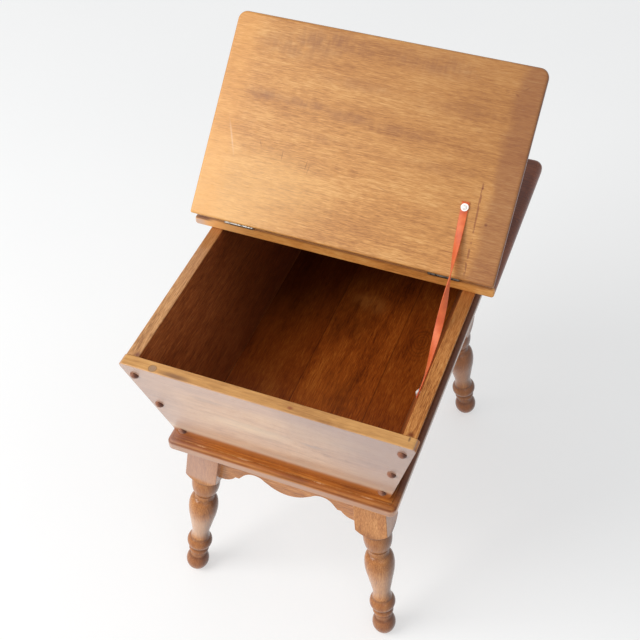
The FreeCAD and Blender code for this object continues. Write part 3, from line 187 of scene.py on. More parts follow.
class Wood(Paint):
    """A piece of maple under a brown stain and a satin lacquer."""

    def __init__(self, name, grain, seed, tones, pith=(0.0, 0.0), cloud=0.5, streak=0.4, hair=0.4,
                 lines=0.05, smoke=0.05, pores=0.3):
        super().__init__(name)
        # The seed shifts the grain, so that no two pieces show the same
        board = self.moved(self.place, turn=grain)
        self.grain = self.moved(board, shift=(seed * 1.37, seed * 0.61, seed * 0.83))
        # Clouds, streaks, hairs and a fine grain, from broad to narrow
        self.cloud = self.drawn(3.2, 7.0, 4.0, 0.6, 0.3)
        self.streaks = self.drawn(16.0, 14.0, 4.0, 0.7)
        hairs = self.drawn(13.0, 42.0, 3.0, 0.7)
        self.fine = self.drawn(13.0, 84.0, 2.0, 0.6)
        tone = self.math("MULTIPLY_ADD", self.cloud, cloud, 0.5 - cloud / 2)
        for part, amount in ((self.streaks, streak), (hairs, hair), (self.fine, hair * 0.9)):
            centred = self.math("SUBTRACT", part, 0.5)
            tone = self.math("MULTIPLY_ADD", centred, amount, tone)
        tone = self.math("MULTIPLY_ADD", self.growth(board, pith), -lines, tone)
        tone = self.math("MULTIPLY_ADD", self.smoke(), -smoke, tone)
        self.tone = self.math("ADD", tone, 0.0, clamp=True)
        self.colour = self.toned(tones)
        pits = self.span(self.drawn(16.0, 130.0, 1.0), 0.26, 0.38, 1.0, 0.0)
        self.over(self.times(pits, pores), tones[0])
        height = self.math("MULTIPLY_ADD", self.fine, 0.35, self.times(pits, -0.5))
        self.height = self.math("MULTIPLY_ADD", self.cloud, 0.5, height)
        self.rough = self.math("MULTIPLY_ADD", self.streaks, STREAK_ROUGH, PLAIN_ROUGH)

    def drawn(self, narrow, scale, detail=2.0, rough=0.5, warp=0.0):
        """Return noise drawn out along the grain: so many times narrower across it."""
        stretched = self.moved(self.grain, scale=(1.0, narrow, narrow))
        return self.noise(stretched, scale, detail, rough, warp)

    def toned(self, tones):
        """Colour the wood's tone from dark to light."""
        return self.ramp(self.tone, list(zip(TONE_PLACES, tones)))

    def growth(self, board, pith):
        """Return faint growth lines about the pith, broken up and drawn out along the grain."""
        away = self.moved(board, shift=(0.0, -pith[0], -pith[1]), scale=(0.06, 1.0, 1.0))
        radius = self.math("MULTIPLY_ADD", self.drawn(4.0, 3.0, 3.0), RING_WANDER, self.length(away))
        place = self.math("FRACT", self.times(radius, RINGS_PER_METRE))
        line = self.times(self.span(place, 0.2, 0.88), self.span(place, 0.90, 1.0, 1.0, 0.0))
        return self.times(line, self.span(self.drawn(5.0, 5.0), 0.36, 0.62))

    def smoke(self):
        """Return darker smoky patches with the faint cross ripple of maple."""
        patch = self.drawn(4.0, 9.0, 4.0, 0.65)
        ripple = self.noise(self.moved(self.grain, scale=(16.0, 2.0, 2.0)), 9.0, 2.0)
        return self.times(self.span(patch, 0.48, 0.68), self.span(ripple, 0.3, 0.65, 0.3, 1.0))

    def over(self, share, colour, kind="MIX"):
        """Lay a colour over the wood where a mask says."""
        self.colour = self.mix(share, self.colour, colour, kind)

    def fade(self, value, low, high, amount, colour):
        """Lay a colour over the wood more and more, up to an amount, as a value goes from low to high."""
        self.over(self.span(value, low, high, 0.0, amount), colour)

    def dab(self, place, centre, reach, amount, colour, turn=0.0):
        """Lay a soft spot of colour on the wood."""
        mask = self.spot(place, centre, reach, math.radians(turn))
        self.over(self.times(mask, amount), colour)

    def broken_dab(self, centre, reach, amount, colour, broken, turn=0.0):
        """Lay a spot of colour, broken up as wear is: by a scale, and by where its patches start and end."""
        mask = self.spot(self.place, centre, reach, math.radians(turn))
        self.over(self.broken(self.times(mask, amount), *broken), colour)

    def broken(self, mask, scale=60.0, low=0.35, high=0.62):
        """Break a mask up, as wear does."""
        return self.times(mask, self.span(self.drawn(2.2, scale, 4.0, 0.6), low, high))

    def wear(self, radius, amount):
        """Rub the stain off the edges."""
        mask = self.broken(self.edges(radius))
        self.over(self.times(mask, amount), WORN)
        self.rough = self.math("MULTIPLY_ADD", mask, 0.12, self.rough)

    def darken_hollows(self, colour, distance, amount, open_share):
        """Darken the colour in grooves and corners, by how closed in they are."""
        self.over(self.times(self.hollows(distance, open_share), amount), colour, "MULTIPLY")

    def lacquered(self, weight, gloss, index=1.6, **sockets):
        """Finish the wood under its lacquer."""
        return self.finish(self.colour, self.rough, self.height, GRAIN_DEPTH,
                           Coat_Weight=weight, Coat_Roughness=gloss, Coat_IOR=index, **sockets)


# Stains, each from dark to light; DARK is the right side board's stain, darkened as painted shade
HONEY = (shade(162, 102, 48), shade(210, 148, 80), shade(240, 188, 120))
GOLD = (shade(158, 104, 50), shade(210, 154, 88), shade(238, 188, 118))
ROSE = (shade(148, 94, 44), shade(200, 142, 84), shade(230, 178, 120))
JOINT = (shade(164, 100, 42), shade(218, 148, 76), shade(242, 186, 110))
BROWN = (shade(70, 26, 14), shade(112, 54, 28), shade(148, 82, 48))
BOX = (shade(162, 112, 76), shade(212, 162, 120), shade(240, 198, 150))
DARK = (shade(52, 22, 12), shade(86, 42, 24), shade(118, 66, 40))
INSIDE = (shade(108, 44, 12), shade(172, 84, 24), shade(214, 126, 48))
WALL = (shade(106, 54, 28), shade(162, 90, 46), shade(200, 126, 70))
AMBER = (shade(114, 56, 16), shade(174, 101, 36), shade(210, 142, 66))
TAN = (shade(134, 76, 36), shade(194, 126, 66), shade(222, 162, 98))
LEG = (shade(130, 72, 30), shade(194, 126, 66), shade(230, 170, 106))
PALE = (shade(176, 136, 92), shade(206, 168, 120), shade(226, 192, 148))
PLUG = (shade(96, 50, 34), shade(152, 98, 72), shade(192, 144, 112))
LITTLE_PLUG = (shade(136, 102, 74), shade(168, 132, 100), PALE[0])

# Stain rubbed off at the edges, and grime
WORN = shade(228, 178, 116)
SMUDGE = shade(112, 52, 26)

# How deep a spot of colour reaches into the face that it lies on
SKIN = 0.02


def lid_frame(paint):
    """Return places in the frame of the closed lid, from places on the open one."""
    shift = Vector((0, HINGE_Y, PIN_Z))
    turn = Matrix.Rotation(OPEN, 4, "X")
    moved = Matrix.Translation(shift) @ turn @ Matrix.Translation(-shift)
    return paint.moved(paint.place, shift=tuple(moved.to_translation()), turn=(OPEN, 0, 0))


# Marks on the lid's underside: middle, half sizes, turn in degrees from across the table, and amount
LID_SCRATCHES = (
    ((-0.111, -0.1203), (0.0110, 0.0011), 88, 0.45),
    ((-0.0725, -0.1140), (0.0100, 0.0011), 95, 0.50),
    ((-0.0680, -0.1090), (0.0120, 0.0009), 97, 0.35),
    ((-0.1470, -0.1302), (0.0075, 0.0011), 62, 0.40),
    ((0.0440, -0.1060), (0.0160, 0.0013), 14, 0.30),
    ((0.1970, -0.0901), (0.0035, 0.0032), 0, 0.75),
    ((0.1804, -0.1377), (0.0025, 0.0024), 0, 0.70),
    ((0.1940, -0.2700), (0.0050, 0.0020), 30, 0.45),
    ((0.2050, -0.2810), (0.0060, 0.0014), 140, 0.40),
)
# Smoky patches there: middle, half sizes and amount
LID_SMOKE = (
    ((-0.1600, -0.2010), (0.0420, 0.0120), 0.65),
    ((-0.0950, -0.1990), (0.0520, 0.0110), 0.75),
    ((-0.0300, -0.1930), (0.0620, 0.0120), 0.60),
    ((0.0550, -0.1880), (0.0700, 0.0120), 0.50),
    ((-0.0650, -0.2920), (0.1150, 0.0240), 0.75),
    ((-0.1250, -0.2750), (0.0900, 0.0260), 0.50),
    ((0.0800, -0.2900), (0.1100, 0.0240), 0.60),
    ((-0.0300, -0.2400), (0.0900, 0.0140), 0.35),
    ((0.1150, -0.2350), (0.0900, 0.0180), 0.30),
    ((-0.0500, -0.1560), (0.0800, 0.0100), 0.25),
    ((0.1000, -0.1500), (0.0900, 0.0120), 0.25),
)


def mark_lid(wood, closed):
    """Lay the smoky patches, scratches and rubbed places on the lid's underside."""
    ripple = wood.noise(wood.moved(closed, scale=(22.0, 3.0, 3.0)), 9.0, 3.0)
    ripple = wood.span(ripple, 0.34, 0.62, 0.65, 1.0)
    patch = wood.span(wood.noise(closed, 30.0, 4.0, 0.65), 0.26, 0.62)
    for (across, along), (wide, deep), amount in LID_SMOKE:
        mask = wood.spot(closed, (across, along, RIM), (wide, deep, SKIN))
        wood.over(wood.times(mask, ripple, patch, amount), shade(146, 92, 56))
    for (across, along), (wide, deep), turn, amount in LID_SCRATCHES:
        wood.dab(closed, (across, along, RIM), (wide, deep, SKIN), amount, SMUDGE, turn)
    pale = wood.spot(closed, (-0.1926, -0.1299, RIM), (0.036, 0.0020, SKIN), math.radians(69))
    wood.over(wood.times(pale, patch, 0.3), shade(244, 222, 196))


SCRIBED_ACROSS = 0.1862
SCRIBED_SLOPE = 0.045


def scribe_lid(wood, closed):
    """Scribe a dashed line across the grain of the lid, near the strap."""
    across, along, _ = wood.parts(closed)
    away = wood.math("MULTIPLY_ADD", along, -SCRIBED_SLOPE, wood.math("SUBTRACT", across, SCRIBED_ACROSS))
    wander = wood.noise(wood.moved(closed, scale=(0.2, 1, 1)), 26.0, 2.0)
    line = wood.math("MULTIPLY_ADD", wander, 0.002, wood.math("ABSOLUTE", away))
    dashes = wood.span(wood.noise(closed, 120.0, 1.0), 0.42, 0.52)
    reach = wood.times(wood.span(along, -0.152, -0.140), wood.span(along, -0.012, -0.022))
    scribed = wood.times(wood.span(line, 0.0018, 0.0028, 1.0, 0.0), dashes)
    wood.over(wood.times(scribed, reach, 0.55), shade(122, 52, 34))


def make_lid_wood():
    """Paint the lid: honey underneath and at its edges, dark brown on top, with painted light at the left and
    painted shade at the right.
    """
    wood = Wood("lid_wood", ALONG_X, 3.1, HONEY, pith=(0.16, 0.60), streak=0.3, hair=0.48, smoke=0.09,
                pores=0.2)
    closed = lid_frame(wood)
    across, along, up = wood.parts(closed)
    # Painted shade: darker towards the far right corner and down the right side
    lean = wood.math("MULTIPLY_ADD", across, 0.9, wood.times(along, -1.2))
    wood.fade(lean, 0.02, 0.60, 0.50, shade(150, 98, 54))
    shaded_right_edge = wood.math("MULTIPLY_ADD", wood.noise(wood.place, 26.0, 3.0), 0.03, across)
    wood.fade(shaded_right_edge, 0.200, 0.217, 0.44, shade(122, 66, 46))
    # Painted light: lighter towards the hinge and the left side, with a warm band along the left edge and a
    # glow at the lower left
    lit = wood.math("MULTIPLY_ADD", across, -1.0, along)
    wood.fade(lit, 0.03, 0.18, 0.5, shade(250, 198, 124))
    wood.fade(across, -0.175, -0.205, 0.35, shade(232, 164, 84))
    wood.dab(closed, (-0.115, -0.078, RIM), (0.13, 0.070, SKIN), 0.3, shade(254, 204, 132), 6)
    mark_lid(wood, closed)
    scribe_lid(wood, closed)
    # The dark stain of the top runs over the outer edges
    turned = wood.times(wood.span(along, -0.012, -0.016), wood.span(up, RIM + 0.0009, RIM + 0.0032))
    outer = wood.math("MAXIMUM", turned, wood.span(up, RIM + TOP * 0.80, RIM + TOP * 0.95))
    wood.over(wood.times(outer, 0.97), wood.toned(BROWN))
    wood.wear(0.0018, 0.12)
    return wood.lacquered(0.16, 0.32, 1.5, Specular_IOR_Level=0.35)


def make_top_wood():
    """Paint the fixed half: dark brown on top, honey on its joint face, with painted light, shade and a
    painted reflection there.
    """
    wood = Wood("top_wood", ALONG_X, 7.4, BROWN, pith=(0.10, 0.47))
    across, along, up = wood.parts(wood.place)
    front = wood.span(along, HINGE_Y + 0.009, HINGE_Y + 0.0035)
    joint = wood.times(front, wood.span(up, RIM + TOP, RIM + TOP * 0.92))
    wood.over(joint, wood.toned(JOINT))
    # Painted light and shade: the joint face is lighter at its left end and darker along its upper edge,
    # under the lid
    wood.over(wood.times(joint, wood.span(across, -0.11, -0.18, 0.0, 0.65)), shade(248, 188, 120))
    wood.over(wood.times(joint, wood.span(up, RIM + TOP * 0.74, RIM + TOP * 0.90), 0.65), shade(128, 76, 44))
    # Painted shade on its upper part near the left end, and a grey painted reflection below it
    upper = wood.span(up, RIM + TOP * 0.56, RIM + TOP * 0.70)
    left_end_shade = wood.times(joint, upper, wood.span(across, -0.195, -0.210))
    wood.over(wood.times(left_end_shade, 0.75), shade(100, 58, 50))
    lower = wood.span(up, RIM + TOP * 0.66, RIM + TOP * 0.52)
    left_end_reflection = wood.times(joint, wood.span(across, -0.204, -0.222), lower, 0.8)
    wood.over(wood.broken(left_end_reflection, 40.0, 0.2, 0.5), shade(206, 178, 164))
    # The underside is light
    under = wood.times(wood.math("SUBTRACT", 1.0, front), wood.span(up, RIM + 0.0004, RIM + 0.0001))
    wood.over(wood.times(under, 0.8), wood.toned(GOLD))
    wood.wear(0.002, 0.2)
    return wood.lacquered(0.10, 0.24, 1.5, Specular_IOR_Level=0.25)


def inner_share(wood, outward, up, side, outer, lean):
    """Return 1 on the inner face of a leaning board, and 0 on its outer face."""
    fallen = wood.times(wood.math("SUBTRACT", RIM, up), -math.sin(lean))
    depth = wood.math("ADD", fallen, outer * math.cos(lean))
    depth = wood.math("MULTIPLY_ADD", outward, -side * math.cos(lean), depth)
    return wood.span(depth, BOARD * 0.80, BOARD * 0.94)


def rim_share(wood, up):
    """Return 1 on the rim of the box, and 0 below it."""
    return wood.span(up, RIM - 0.0016, RIM - 0.0006)


def make_side_wood(name, hand, seed, rim_tones, outer_tones, coat, shine):
    """Paint a side board: brown outside, dark inside, lighter along the worn rim, with painted shade inside.
    """
    wood = Wood(name, ALONG_Y, seed, outer_tones, pith=(-hand * 0.09, 0.38), streak=0.5, hair=0.7, smoke=0.07)
    across, along, up = wood.parts(wood.place)
    wood.over(inner_share(wood, across, up, hand, SIDE_OUTER, SIDE_LEAN), wood.toned(WALL))
    # Painted shade: darker towards the foot and the back of the inner face. The rim is darker towards the
    # back.
    wood.fade(along, -0.20, 0.02, 0.38, shade(66, 26, 12))
    wood.fade(up, 0.50, 0.40, 0.25, shade(80, 32, 14))
    rim = rim_share(wood, up)
    wood.over(rim, wood.toned(rim_tones))
    wood.over(wood.times(rim, wood.span(along, -0.19, 0.0, 0.0, 0.66)), shade(160, 98, 48))
    # Grime in the front corner, where the boards meet
    corner = (0.0030 + hand * 0.1905, -0.2745, RIM)
    wood.broken_dab(corner, (0.006, 0.010, 0.004), 0.9, SMUDGE, (90.0, 0.25, 0.5))
    wood.wear(0.002, 0.3)
    return wood.lacquered(coat, 0.2, 1.5, Specular_IOR_Level=shine)


# Button plugs: distance from the middle each way, and height
PLUG_PLACES = ((0.18809, 0.27911, 0.5302), (0.17063, 0.26024, 0.45395), (0.15316, 0.24137, 0.3777))
# The ring round the small plug in the front rim: middle, and radii of its edges
RING_PLACE = (-0.15775, -0.2878, RIM)
RING_INNER = (0.0044, 0.0050)
RING_OUTER = (0.0066, 0.0054)
# Smudges on the outer face: middle, reach and amount
END_SMUDGES = (
    ((0.060, -0.270, 0.468), (0.024, 0.06, 0.007), 0.75),
    ((-0.080, -0.285, 0.515), (0.050, 0.06, 0.008), 0.25),
    ((0.110, -0.270, 0.500), (0.060, 0.06, 0.009), 0.2),
)
# How far the stain's spots are turned, in degrees, as the grain runs
SPOT_TURN = -4


def stain_and_painted_light_end(wood, across, up, side):
    """Lay the stain of an end board's outer face, with painted shadows round the plugs and a painted
    reflection of the base board.
    """
    # Greyer near the ends and the foot, and darker at both ends
    middle = wood.times(wood.span(across, -0.19, -0.08), wood.span(across, 0.19, 0.06),
                        wood.span(up, 0.54, 0.50), wood.span(up, 0.37, 0.41))
    wood.over(wood.math("MULTIPLY_ADD", middle, -0.45, 0.45), shade(190, 154, 140))
    wood.fade(across, 0.05, 0.16, 0.5, shade(150, 108, 90))
    wood.fade(across, -0.11, -0.19, 0.25, shade(150, 108, 96))
    upper_right = wood.times(wood.span(across, 0.0, 0.05), wood.span(up, 0.45, 0.50))
    wood.over(wood.times(upper_right, 0.3), shade(132, 98, 90))
    wood.dab(wood.place, (-0.030, -0.272, 0.464), (0.085, 0.08, 0.024), 0.45, shade(255, 222, 176), SPOT_TURN)
    # Paler towards the foot, and then a brown band there, a painted reflection of the base board in the
    # lacquer
    wood.fade(up, 0.408, 0.376, 0.6, shade(255, 232, 204))
    wood.fade(up, 0.3900, 0.3750, 1.0, shade(180, 104, 40))
    for place, reach, amount in END_SMUDGES:
        wood.broken_dab(place, reach, amount, shade(150, 122, 112), (36.0, 0.3, 0.6), SPOT_TURN)
    # Painted shadow of each button plug, cast to its right on the board
    for hand in (-1, 1):
        for plug_across, plug_along, plug_up in PLUG_PLACES:
            place = (hand * plug_across + 0.0026, side * plug_along + HINGE_Y, plug_up - 0.001)
            wood.dab(wood.place, place, (0.0078, SKIN, 0.0078), 0.7, shade(84, 46, 36))


def mark_rim(wood, side):
    """Lay a knot, a smear, a notch and the ring of the small plug on an end board's rim."""
    knot = (0.0369, side * 0.277 + HINGE_Y, RIM)
    wood.dab(wood.place, knot, (0.0060, 0.0042, 0.004), 0.75, shade(140, 62, 30))
    smear = (-0.124, side * 0.2808 + HINGE_Y, RIM)
    wood.broken_dab(smear, (0.031, 0.0062, 0.004), 0.8, shade(126, 84, 56), (60.0, 0.1, 0.5))
    notch = (0.1941, side * 0.2712 + HINGE_Y, RIM)
    wood.dab(wood.place, notch, (0.0022, 0.0062, 0.004), 0.75, shade(96, 58, 34))
    if side < 0:
        away = wood.length(wood.moved(wood.place, shift=tuple(-part for part in RING_PLACE)))
        ring = wood.times(wood.span(away, *RING_INNER), wood.span(away, *RING_OUTER))
        wood.over(wood.times(ring, 0.7), shade(92, 56, 32))


def make_end_wood(name, side, seed):
    """Paint an end board: pale brown outside, dark inside, honey along the worn rim."""
    wood = Wood(name, ALONG_X, seed, BOX, pith=(side * 0.16, 0.44), cloud=0.75, streak=0.4, hair=0.2,
                smoke=0.08)
    across, along, up = wood.parts(wood.place)
    along = wood.math("SUBTRACT", along, HINGE_Y)
    stain_and_painted_light_end(wood, across, up, side)
    wood.over(inner_share(wood, along, up, side, END_OUTER, END_LEAN), wood.toned(WALL))
    wood.over(rim_share(wood, up), wood.toned(GOLD))
    mark_rim(wood, side)
    facing = wood.parts(wood.normal)
    end_grain = wood.span(wood.math("ABSOLUTE", facing[0]), 0.55, 0.95)
    wood.over(wood.times(end_grain, 0.9), wood.toned(TAN))
    wood.wear(0.0025, 0.35)
    outer = wood.span(wood.times(facing[1], side), 0.5, 0.9)
    shine = wood.math("MULTIPLY_ADD", end_grain, -0.42, 0.5)
    return wood.lacquered(outer, 0.26, 1.85, Specular_IOR_Level=shine)


# Blotches on the floor of the box: middle, half sizes, amount and colour
FLOOR_BLOTCHES = (
    ((-0.005, 0.056), (0.060, 0.080), 0.45, shade(44, 14, 4)),
    ((-0.124, 0.010), (0.030, 0.090), 0.26, shade(196, 104, 40)),
    ((0.095, 0.070), (0.040, 0.070), 0.20, shade(190, 92, 30)),
    ((0.020, -0.100), (0.070, 0.080), 0.16, shade(214, 124, 46)),
)
# A knot there, narrower across the table than along it
KNOT_PLACE = (0.1162, 0.050, BASE_TOP)
KNOT_SQUEEZE = 1.6
# Painted highlights on the base board's step: place across, and half length
STEP_HIGHLIGHTS = ((-0.123, 0.011), (-0.0566, 0.013), (0.0613, 0.012), (0.134, 0.014))
STEP_FRONT = -0.2555
STRIPS_PER_METRE = 8.6
# Half the size of the box's floor each way
INSIDE_ACROSS = 0.158
INSIDE_ALONG = 0.237


def mark_floor(wood):
    """Lay blotches, a scuff and a knot on the floor of the box."""
    for (across, along), (wide, deep), amount, colour in FLOOR_BLOTCHES:
        wood.broken_dab((across, along, BASE_TOP), (wide, deep, SKIN), amount, colour, (22.0, 0.2, 0.6))
    scuff = (0.014, 0.104, BASE_TOP)
    wood.broken_dab(scuff, (0.046, 0.030, SKIN), 0.6, shade(196, 120, 54), (50.0, 0.3, 0.6), -8)
    across, along, up = KNOT_PLACE
    squeezed = wood.moved(wood.place, shift=(-across * KNOT_SQUEEZE, -along, -up), scale=(KNOT_SQUEEZE, 1, 1))
    knot = wood.length(squeezed)
    warped = wood.math("MULTIPLY_ADD", wood.noise(wood.place, 30.0, 3.0), 0.02, knot)
    rings = wood.math("PINGPONG", wood.times(warped, 130.0), 0.5)
    rings = wood.times(wood.span(rings, 0.1, 0.9), wood.span(knot, 0.014, 0.058, 0.85, 0.0))
    wood.over(rings, shade(50, 16, 5))


def stain_and_shade_inside(wood, across, along):
    """Lay the stain of the base board where it is the floor of the box, with painted shade."""
    # Glued up from strips that differ a little, with thin dark seams
    strips = wood.times(wood.math("ADD", across, 0.5), STRIPS_PER_METRE)
    tint = wood.add("ShaderNodeTexWhiteNoise", {"W": wood.math("FLOOR", strips)}, noise_dimensions="1D")
    wood.over(wood.times(tint.outputs["Value"], 0.3), INSIDE[0])
    seam = wood.math("ABSOLUTE", wood.math("SUBTRACT", wood.math("FRACT", strips), 0.5))
    wood.fade(seam, 0.488, 0.497, 0.5, shade(60, 20, 6))
    # Painted shade: darker at the left and towards the back, where less light gets into the box
    wood.fade(across, 0.02, -0.14, 0.18, shade(80, 30, 10))
    far = wood.math("MULTIPLY_ADD", across, -0.8, along)
    wood.fade(far, 0.03, 0.19, 0.66, shade(34, 9, 3))
    mark_floor(wood)


def outside_share(wood, across, along):
    """Return 1 on the base board outside the box, and 0 inside it."""
    away = wood.math("ABSOLUTE", wood.math("SUBTRACT", along, HINGE_Y))
    return wood.math(
        "MAXIMUM",
        wood.span(wood.math("ABSOLUTE", across), INSIDE_ACROSS - 0.001, INSIDE_ACROSS + 0.001),
        wood.span(away, INSIDE_ALONG - 0.001, INSIDE_ALONG + 0.001))


def make_base_wood():
    """Paint the base board: dark amber inside the box, amber outside, greyer on its front edge, with painted
    shade inside and on the ledge at the right.
    """
    wood = Wood("base_wood", ALONG_Y, 11.3, INSIDE, pith=(0.05, 0.24), cloud=0.65, streak=0.36, hair=0.5,
                smoke=0.09)
    across, along, up = wood.parts(wood.place)
    stain_and_shade_inside(wood, across, along)
    outside = outside_share(wood, across, along)
    lengthwise = wood.noise(wood.moved(wood.place, scale=(1.0, 24.0, 24.0)), 9.0, 4.0, 0.7)
    lengthwise = wood.math("MULTIPLY_ADD", wood.math("SUBTRACT", lengthwise, 0.5), 1.1, 0.5, clamp=True)
    wood.over(outside, wood.ramp(lengthwise, list(zip(TONE_PLACES, AMBER))))
    patches = wood.noise(wood.moved(wood.place, scale=(1.0, 2.5, 2.5)), 20.0, 3.0, 0.6)
    wood.over(wood.times(outside, wood.span(patches, 0.46, 0.66), 0.4), shade(112, 60, 30))
    # Painted shade makes the ledge darkest at the right; it is pinker at the left
    right = wood.times(wood.span(across, 0.158, 0.166), wood.span(along, -0.246, -0.222), outside)
    wood.over(wood.times(right, 0.8), shade(58, 24, 20))
    wood.over(wood.times(outside, wood.span(across, -0.09, -0.17, 0.0, 0.34)), shade(138, 106, 104))
    # The moulded step is darker, partly stain and partly painted shade, with a few painted highlights
    step = wood.times(outside, wood.span(up, BASE_TOP - 0.0004, BASE_TOP - 0.0010))
    wood.over(wood.times(step, wood.span(up, BASE_TOP - 0.0040, BASE_TOP - 0.0016), 0.4), shade(128, 66, 30))
    for place, half in STEP_HIGHLIGHTS:
        fleck = (place, STEP_FRONT, BASE_TOP - BASE_STEP)
        wood.broken_dab(fleck, (half, 0.0013, 0.003), 0.6, shade(232, 190, 148), (160.0, 0.3, 0.5))
    # The edge is paler, with a dark line above it
    face = wood.span(up, BASE_TOP - 0.0050, BASE_TOP - 0.0090)
    streaks = wood.span(lengthwise, 0.2, 0.6, 1.0, 0.75)
    wood.over(wood.times(face, wood.span(across, 0.02, 0.16, 0.85, 0.5), streaks), shade(204, 164, 138))
    wood.over(wood.times(outside, wood.span(across, -0.15, -0.178, 0.0, 0.35)), shade(196, 158, 142))
    below = wood.span(up, BASE_TOP - 0.0028, BASE_TOP - 0.0044)
    above = wood.span(up, BASE_TOP - 0.0062, BASE_TOP - 0.0046)
    wood.over(wood.times(outside, above, below, 0.5), shade(104, 52, 24))
    wood.wear(0.002, 0.25)
    wood.rough = wood.math("MULTIPLY_ADD", outside, 0.14, wood.rough)
    return wood.lacquered(wood.math("MULTIPLY_ADD", face, 0.8, 0.06), 0.22, 1.6, Specular_IOR_Level=0.3)


# The legs lean the same way outward and endward, from the middles of their feet
FOOT_ACROSS = 0.169295
FOOT_ALONG = 0.243865
LEG_SLOPE = math.tan(math.radians(6.843))
# Dark lines in the turned grooves: height along the leg's axis, half width, amount
LEG_LINES = (
    (0.0360, 0.0034, 0.80), (0.0462, 0.0022, 0.70), (0.0598, 0.0024, 0.95), (0.0665, 0.0011, 0.55),
    (0.0730, 0.0011, 0.65), (0.0850, 0.0026, 0.85), (0.1925, 0.0035, 0.60), (0.2030, 0.0030, 0.75),
    (0.2410, 0.0024, 0.80), (0.2462, 0.0020, 0.70),
)
# Where the turned part of a leg ends and its square block starts
BLOCK_FOOT = 0.25


def leg_height(wood, across, along, up):
    """Return the height along the leaning axis of the nearest leg."""
    outward = wood.math("SUBTRACT", wood.math("ABSOLUTE", across), FOOT_ACROSS)
    endward = wood.math("ABSOLUTE", wood.math("SUBTRACT", along, HINGE_Y))
    endward = wood.math("SUBTRACT", endward, FOOT_ALONG)
    height = wood.math("MULTIPLY_ADD", wood.math("ADD", outward, endward), -LEG_SLOPE, up)
    return wood.times(height, 1 / math.sqrt(1 + 2 * LEG_SLOPE ** 2))


def line_leg(wood, height):
    """Lay dark lines in the turned grooves."""
    stops = [(0.0, (0, 0, 0, 1))]
    for place, half, amount in LEG_LINES:
        stops.append((place - half, (0, 0, 0, 1)))
        stops.append((place, (amount, amount, amount, 1)))
        stops.append((place + half, (0, 0, 0, 1)))
    wood.over(wood.times(wood.ramp(height, stops), 0.9), shade(88, 44, 24))


def make_leg_wood():
    """Paint the legs, with dark lines and darkened hollows in the turned grooves, and painted light and
    shade.
    """
    wood = Wood("leg_wood", ALONG_Z, 5.6, LEG, cloud=0.6, streak=0.36, lines=0.0, pores=0.12)
    across, along, up = wood.parts(wood.place)
    height = leg_height(wood, across, along, up)
    # The stain is deeper on the cup and the vase's shoulder, on the ring and on the ball
    shoulder = wood.times(wood.span(height, 0.140, 0.176), wood.span(height, 0.206, 0.196))
    wood.over(wood.times(shoulder, 0.26), shade(152, 90, 34))
    cup = wood.times(wood.span(height, 0.196, 0.206), wood.span(height, 0.262, 0.246))
    wood.over(wood.times(cup, 0.48), shade(146, 84, 36))
    # Painted light: the lower vase is paler, more so on the left legs
    pale = wood.times(wood.span(height, 0.086, 0.104), wood.span(height, 0.174, 0.128))
    wood.over(wood.times(pale, wood.span(across, 0.1, -0.1, 0.26, 0.52)), shade(226, 194, 170))
    # Deeper stain on the ring and on the ball
    wood.fade(height, 0.090, 0.082, 0.42, shade(140, 78, 40))
    wood.fade(height, 0.040, 0.034, 0.3, shade(120, 62, 42))
    # The block of the front left leg is greyer, a painted reflection of the pale floor; the rear legs are
    # browner
    front_left = wood.times(wood.span(across, -0.06, -0.14), wood.span(along, -0.08, -0.16))
    grey = wood.times(front_left, wood.span(height, BLOCK_FOOT + 0.002, BLOCK_FOOT + 0.012))
    wood.over(wood.times(grey, 0.6), shade(190, 160, 150))
    wood.fade(along, -0.05, 0.12, 0.45, shade(142, 80, 34))
    # Painted shade on the right faces of the blocks and the right side of the turned parts
    block = wood.span(height, BLOCK_FOOT, BLOCK_FOOT + 0.012)
    facing = wood.parts(wood.normal)
    wood.over(wood.times(wood.span(facing[0], 0.55, 0.9), block, 0.45), shade(120, 80, 62))
    turned = wood.math("MULTIPLY_ADD", facing[1], 0.36, wood.times(facing[0], 0.93))
    turned = wood.times(wood.span(turned, 0.05, 0.95), wood.math("SUBTRACT", 1.0, block))
    wood.over(wood.times(turned, 0.8), shade(80, 40, 22))
    line_leg(wood, height)
    wood.darken_hollows(shade(120, 66, 42), 0.004, 0.9, 0.9)
    wood.wear(0.002, 0.45)
    return wood.lacquered(0.65, 0.1, 1.5, Specular_IOR_Level=0.15)


def make_apron_wood(name, grain, seed):
    """Paint an apron."""
    wood = Wood(name, grain, seed, LEG)
    wood.wear(0.002, 0.35)
    return wood.lacquered(0.45, 0.22, 1.6)


def make_plain_wood(name, grain, tones, seed):
    """Paint the small and the unseen pieces."""
    wood = Wood(name, grain, seed, tones)
    wood.wear(0.002, 0.25)
    return wood.lacquered(0.15, 0.3)


def make_plug_wood():
    """Paint the button plugs, with painted shade on one side of their domes."""
    wood = Wood("plug_wood", ALONG_Y, 2.9, PLUG)
    facing = wood.parts(wood.normal)
    shaded_dome = wood.math("MULTIPLY_ADD", facing[0], 0.8, wood.times(facing[2], 0.45))
    wood.fade(shaded_dome, 0.05, 0.65, 0.9, shade(74, 32, 20))
    wood.wear(0.002, 0.2)
    return wood.lacquered(0.22, 0.2, 1.5, Specular_IOR_Level=0.25)


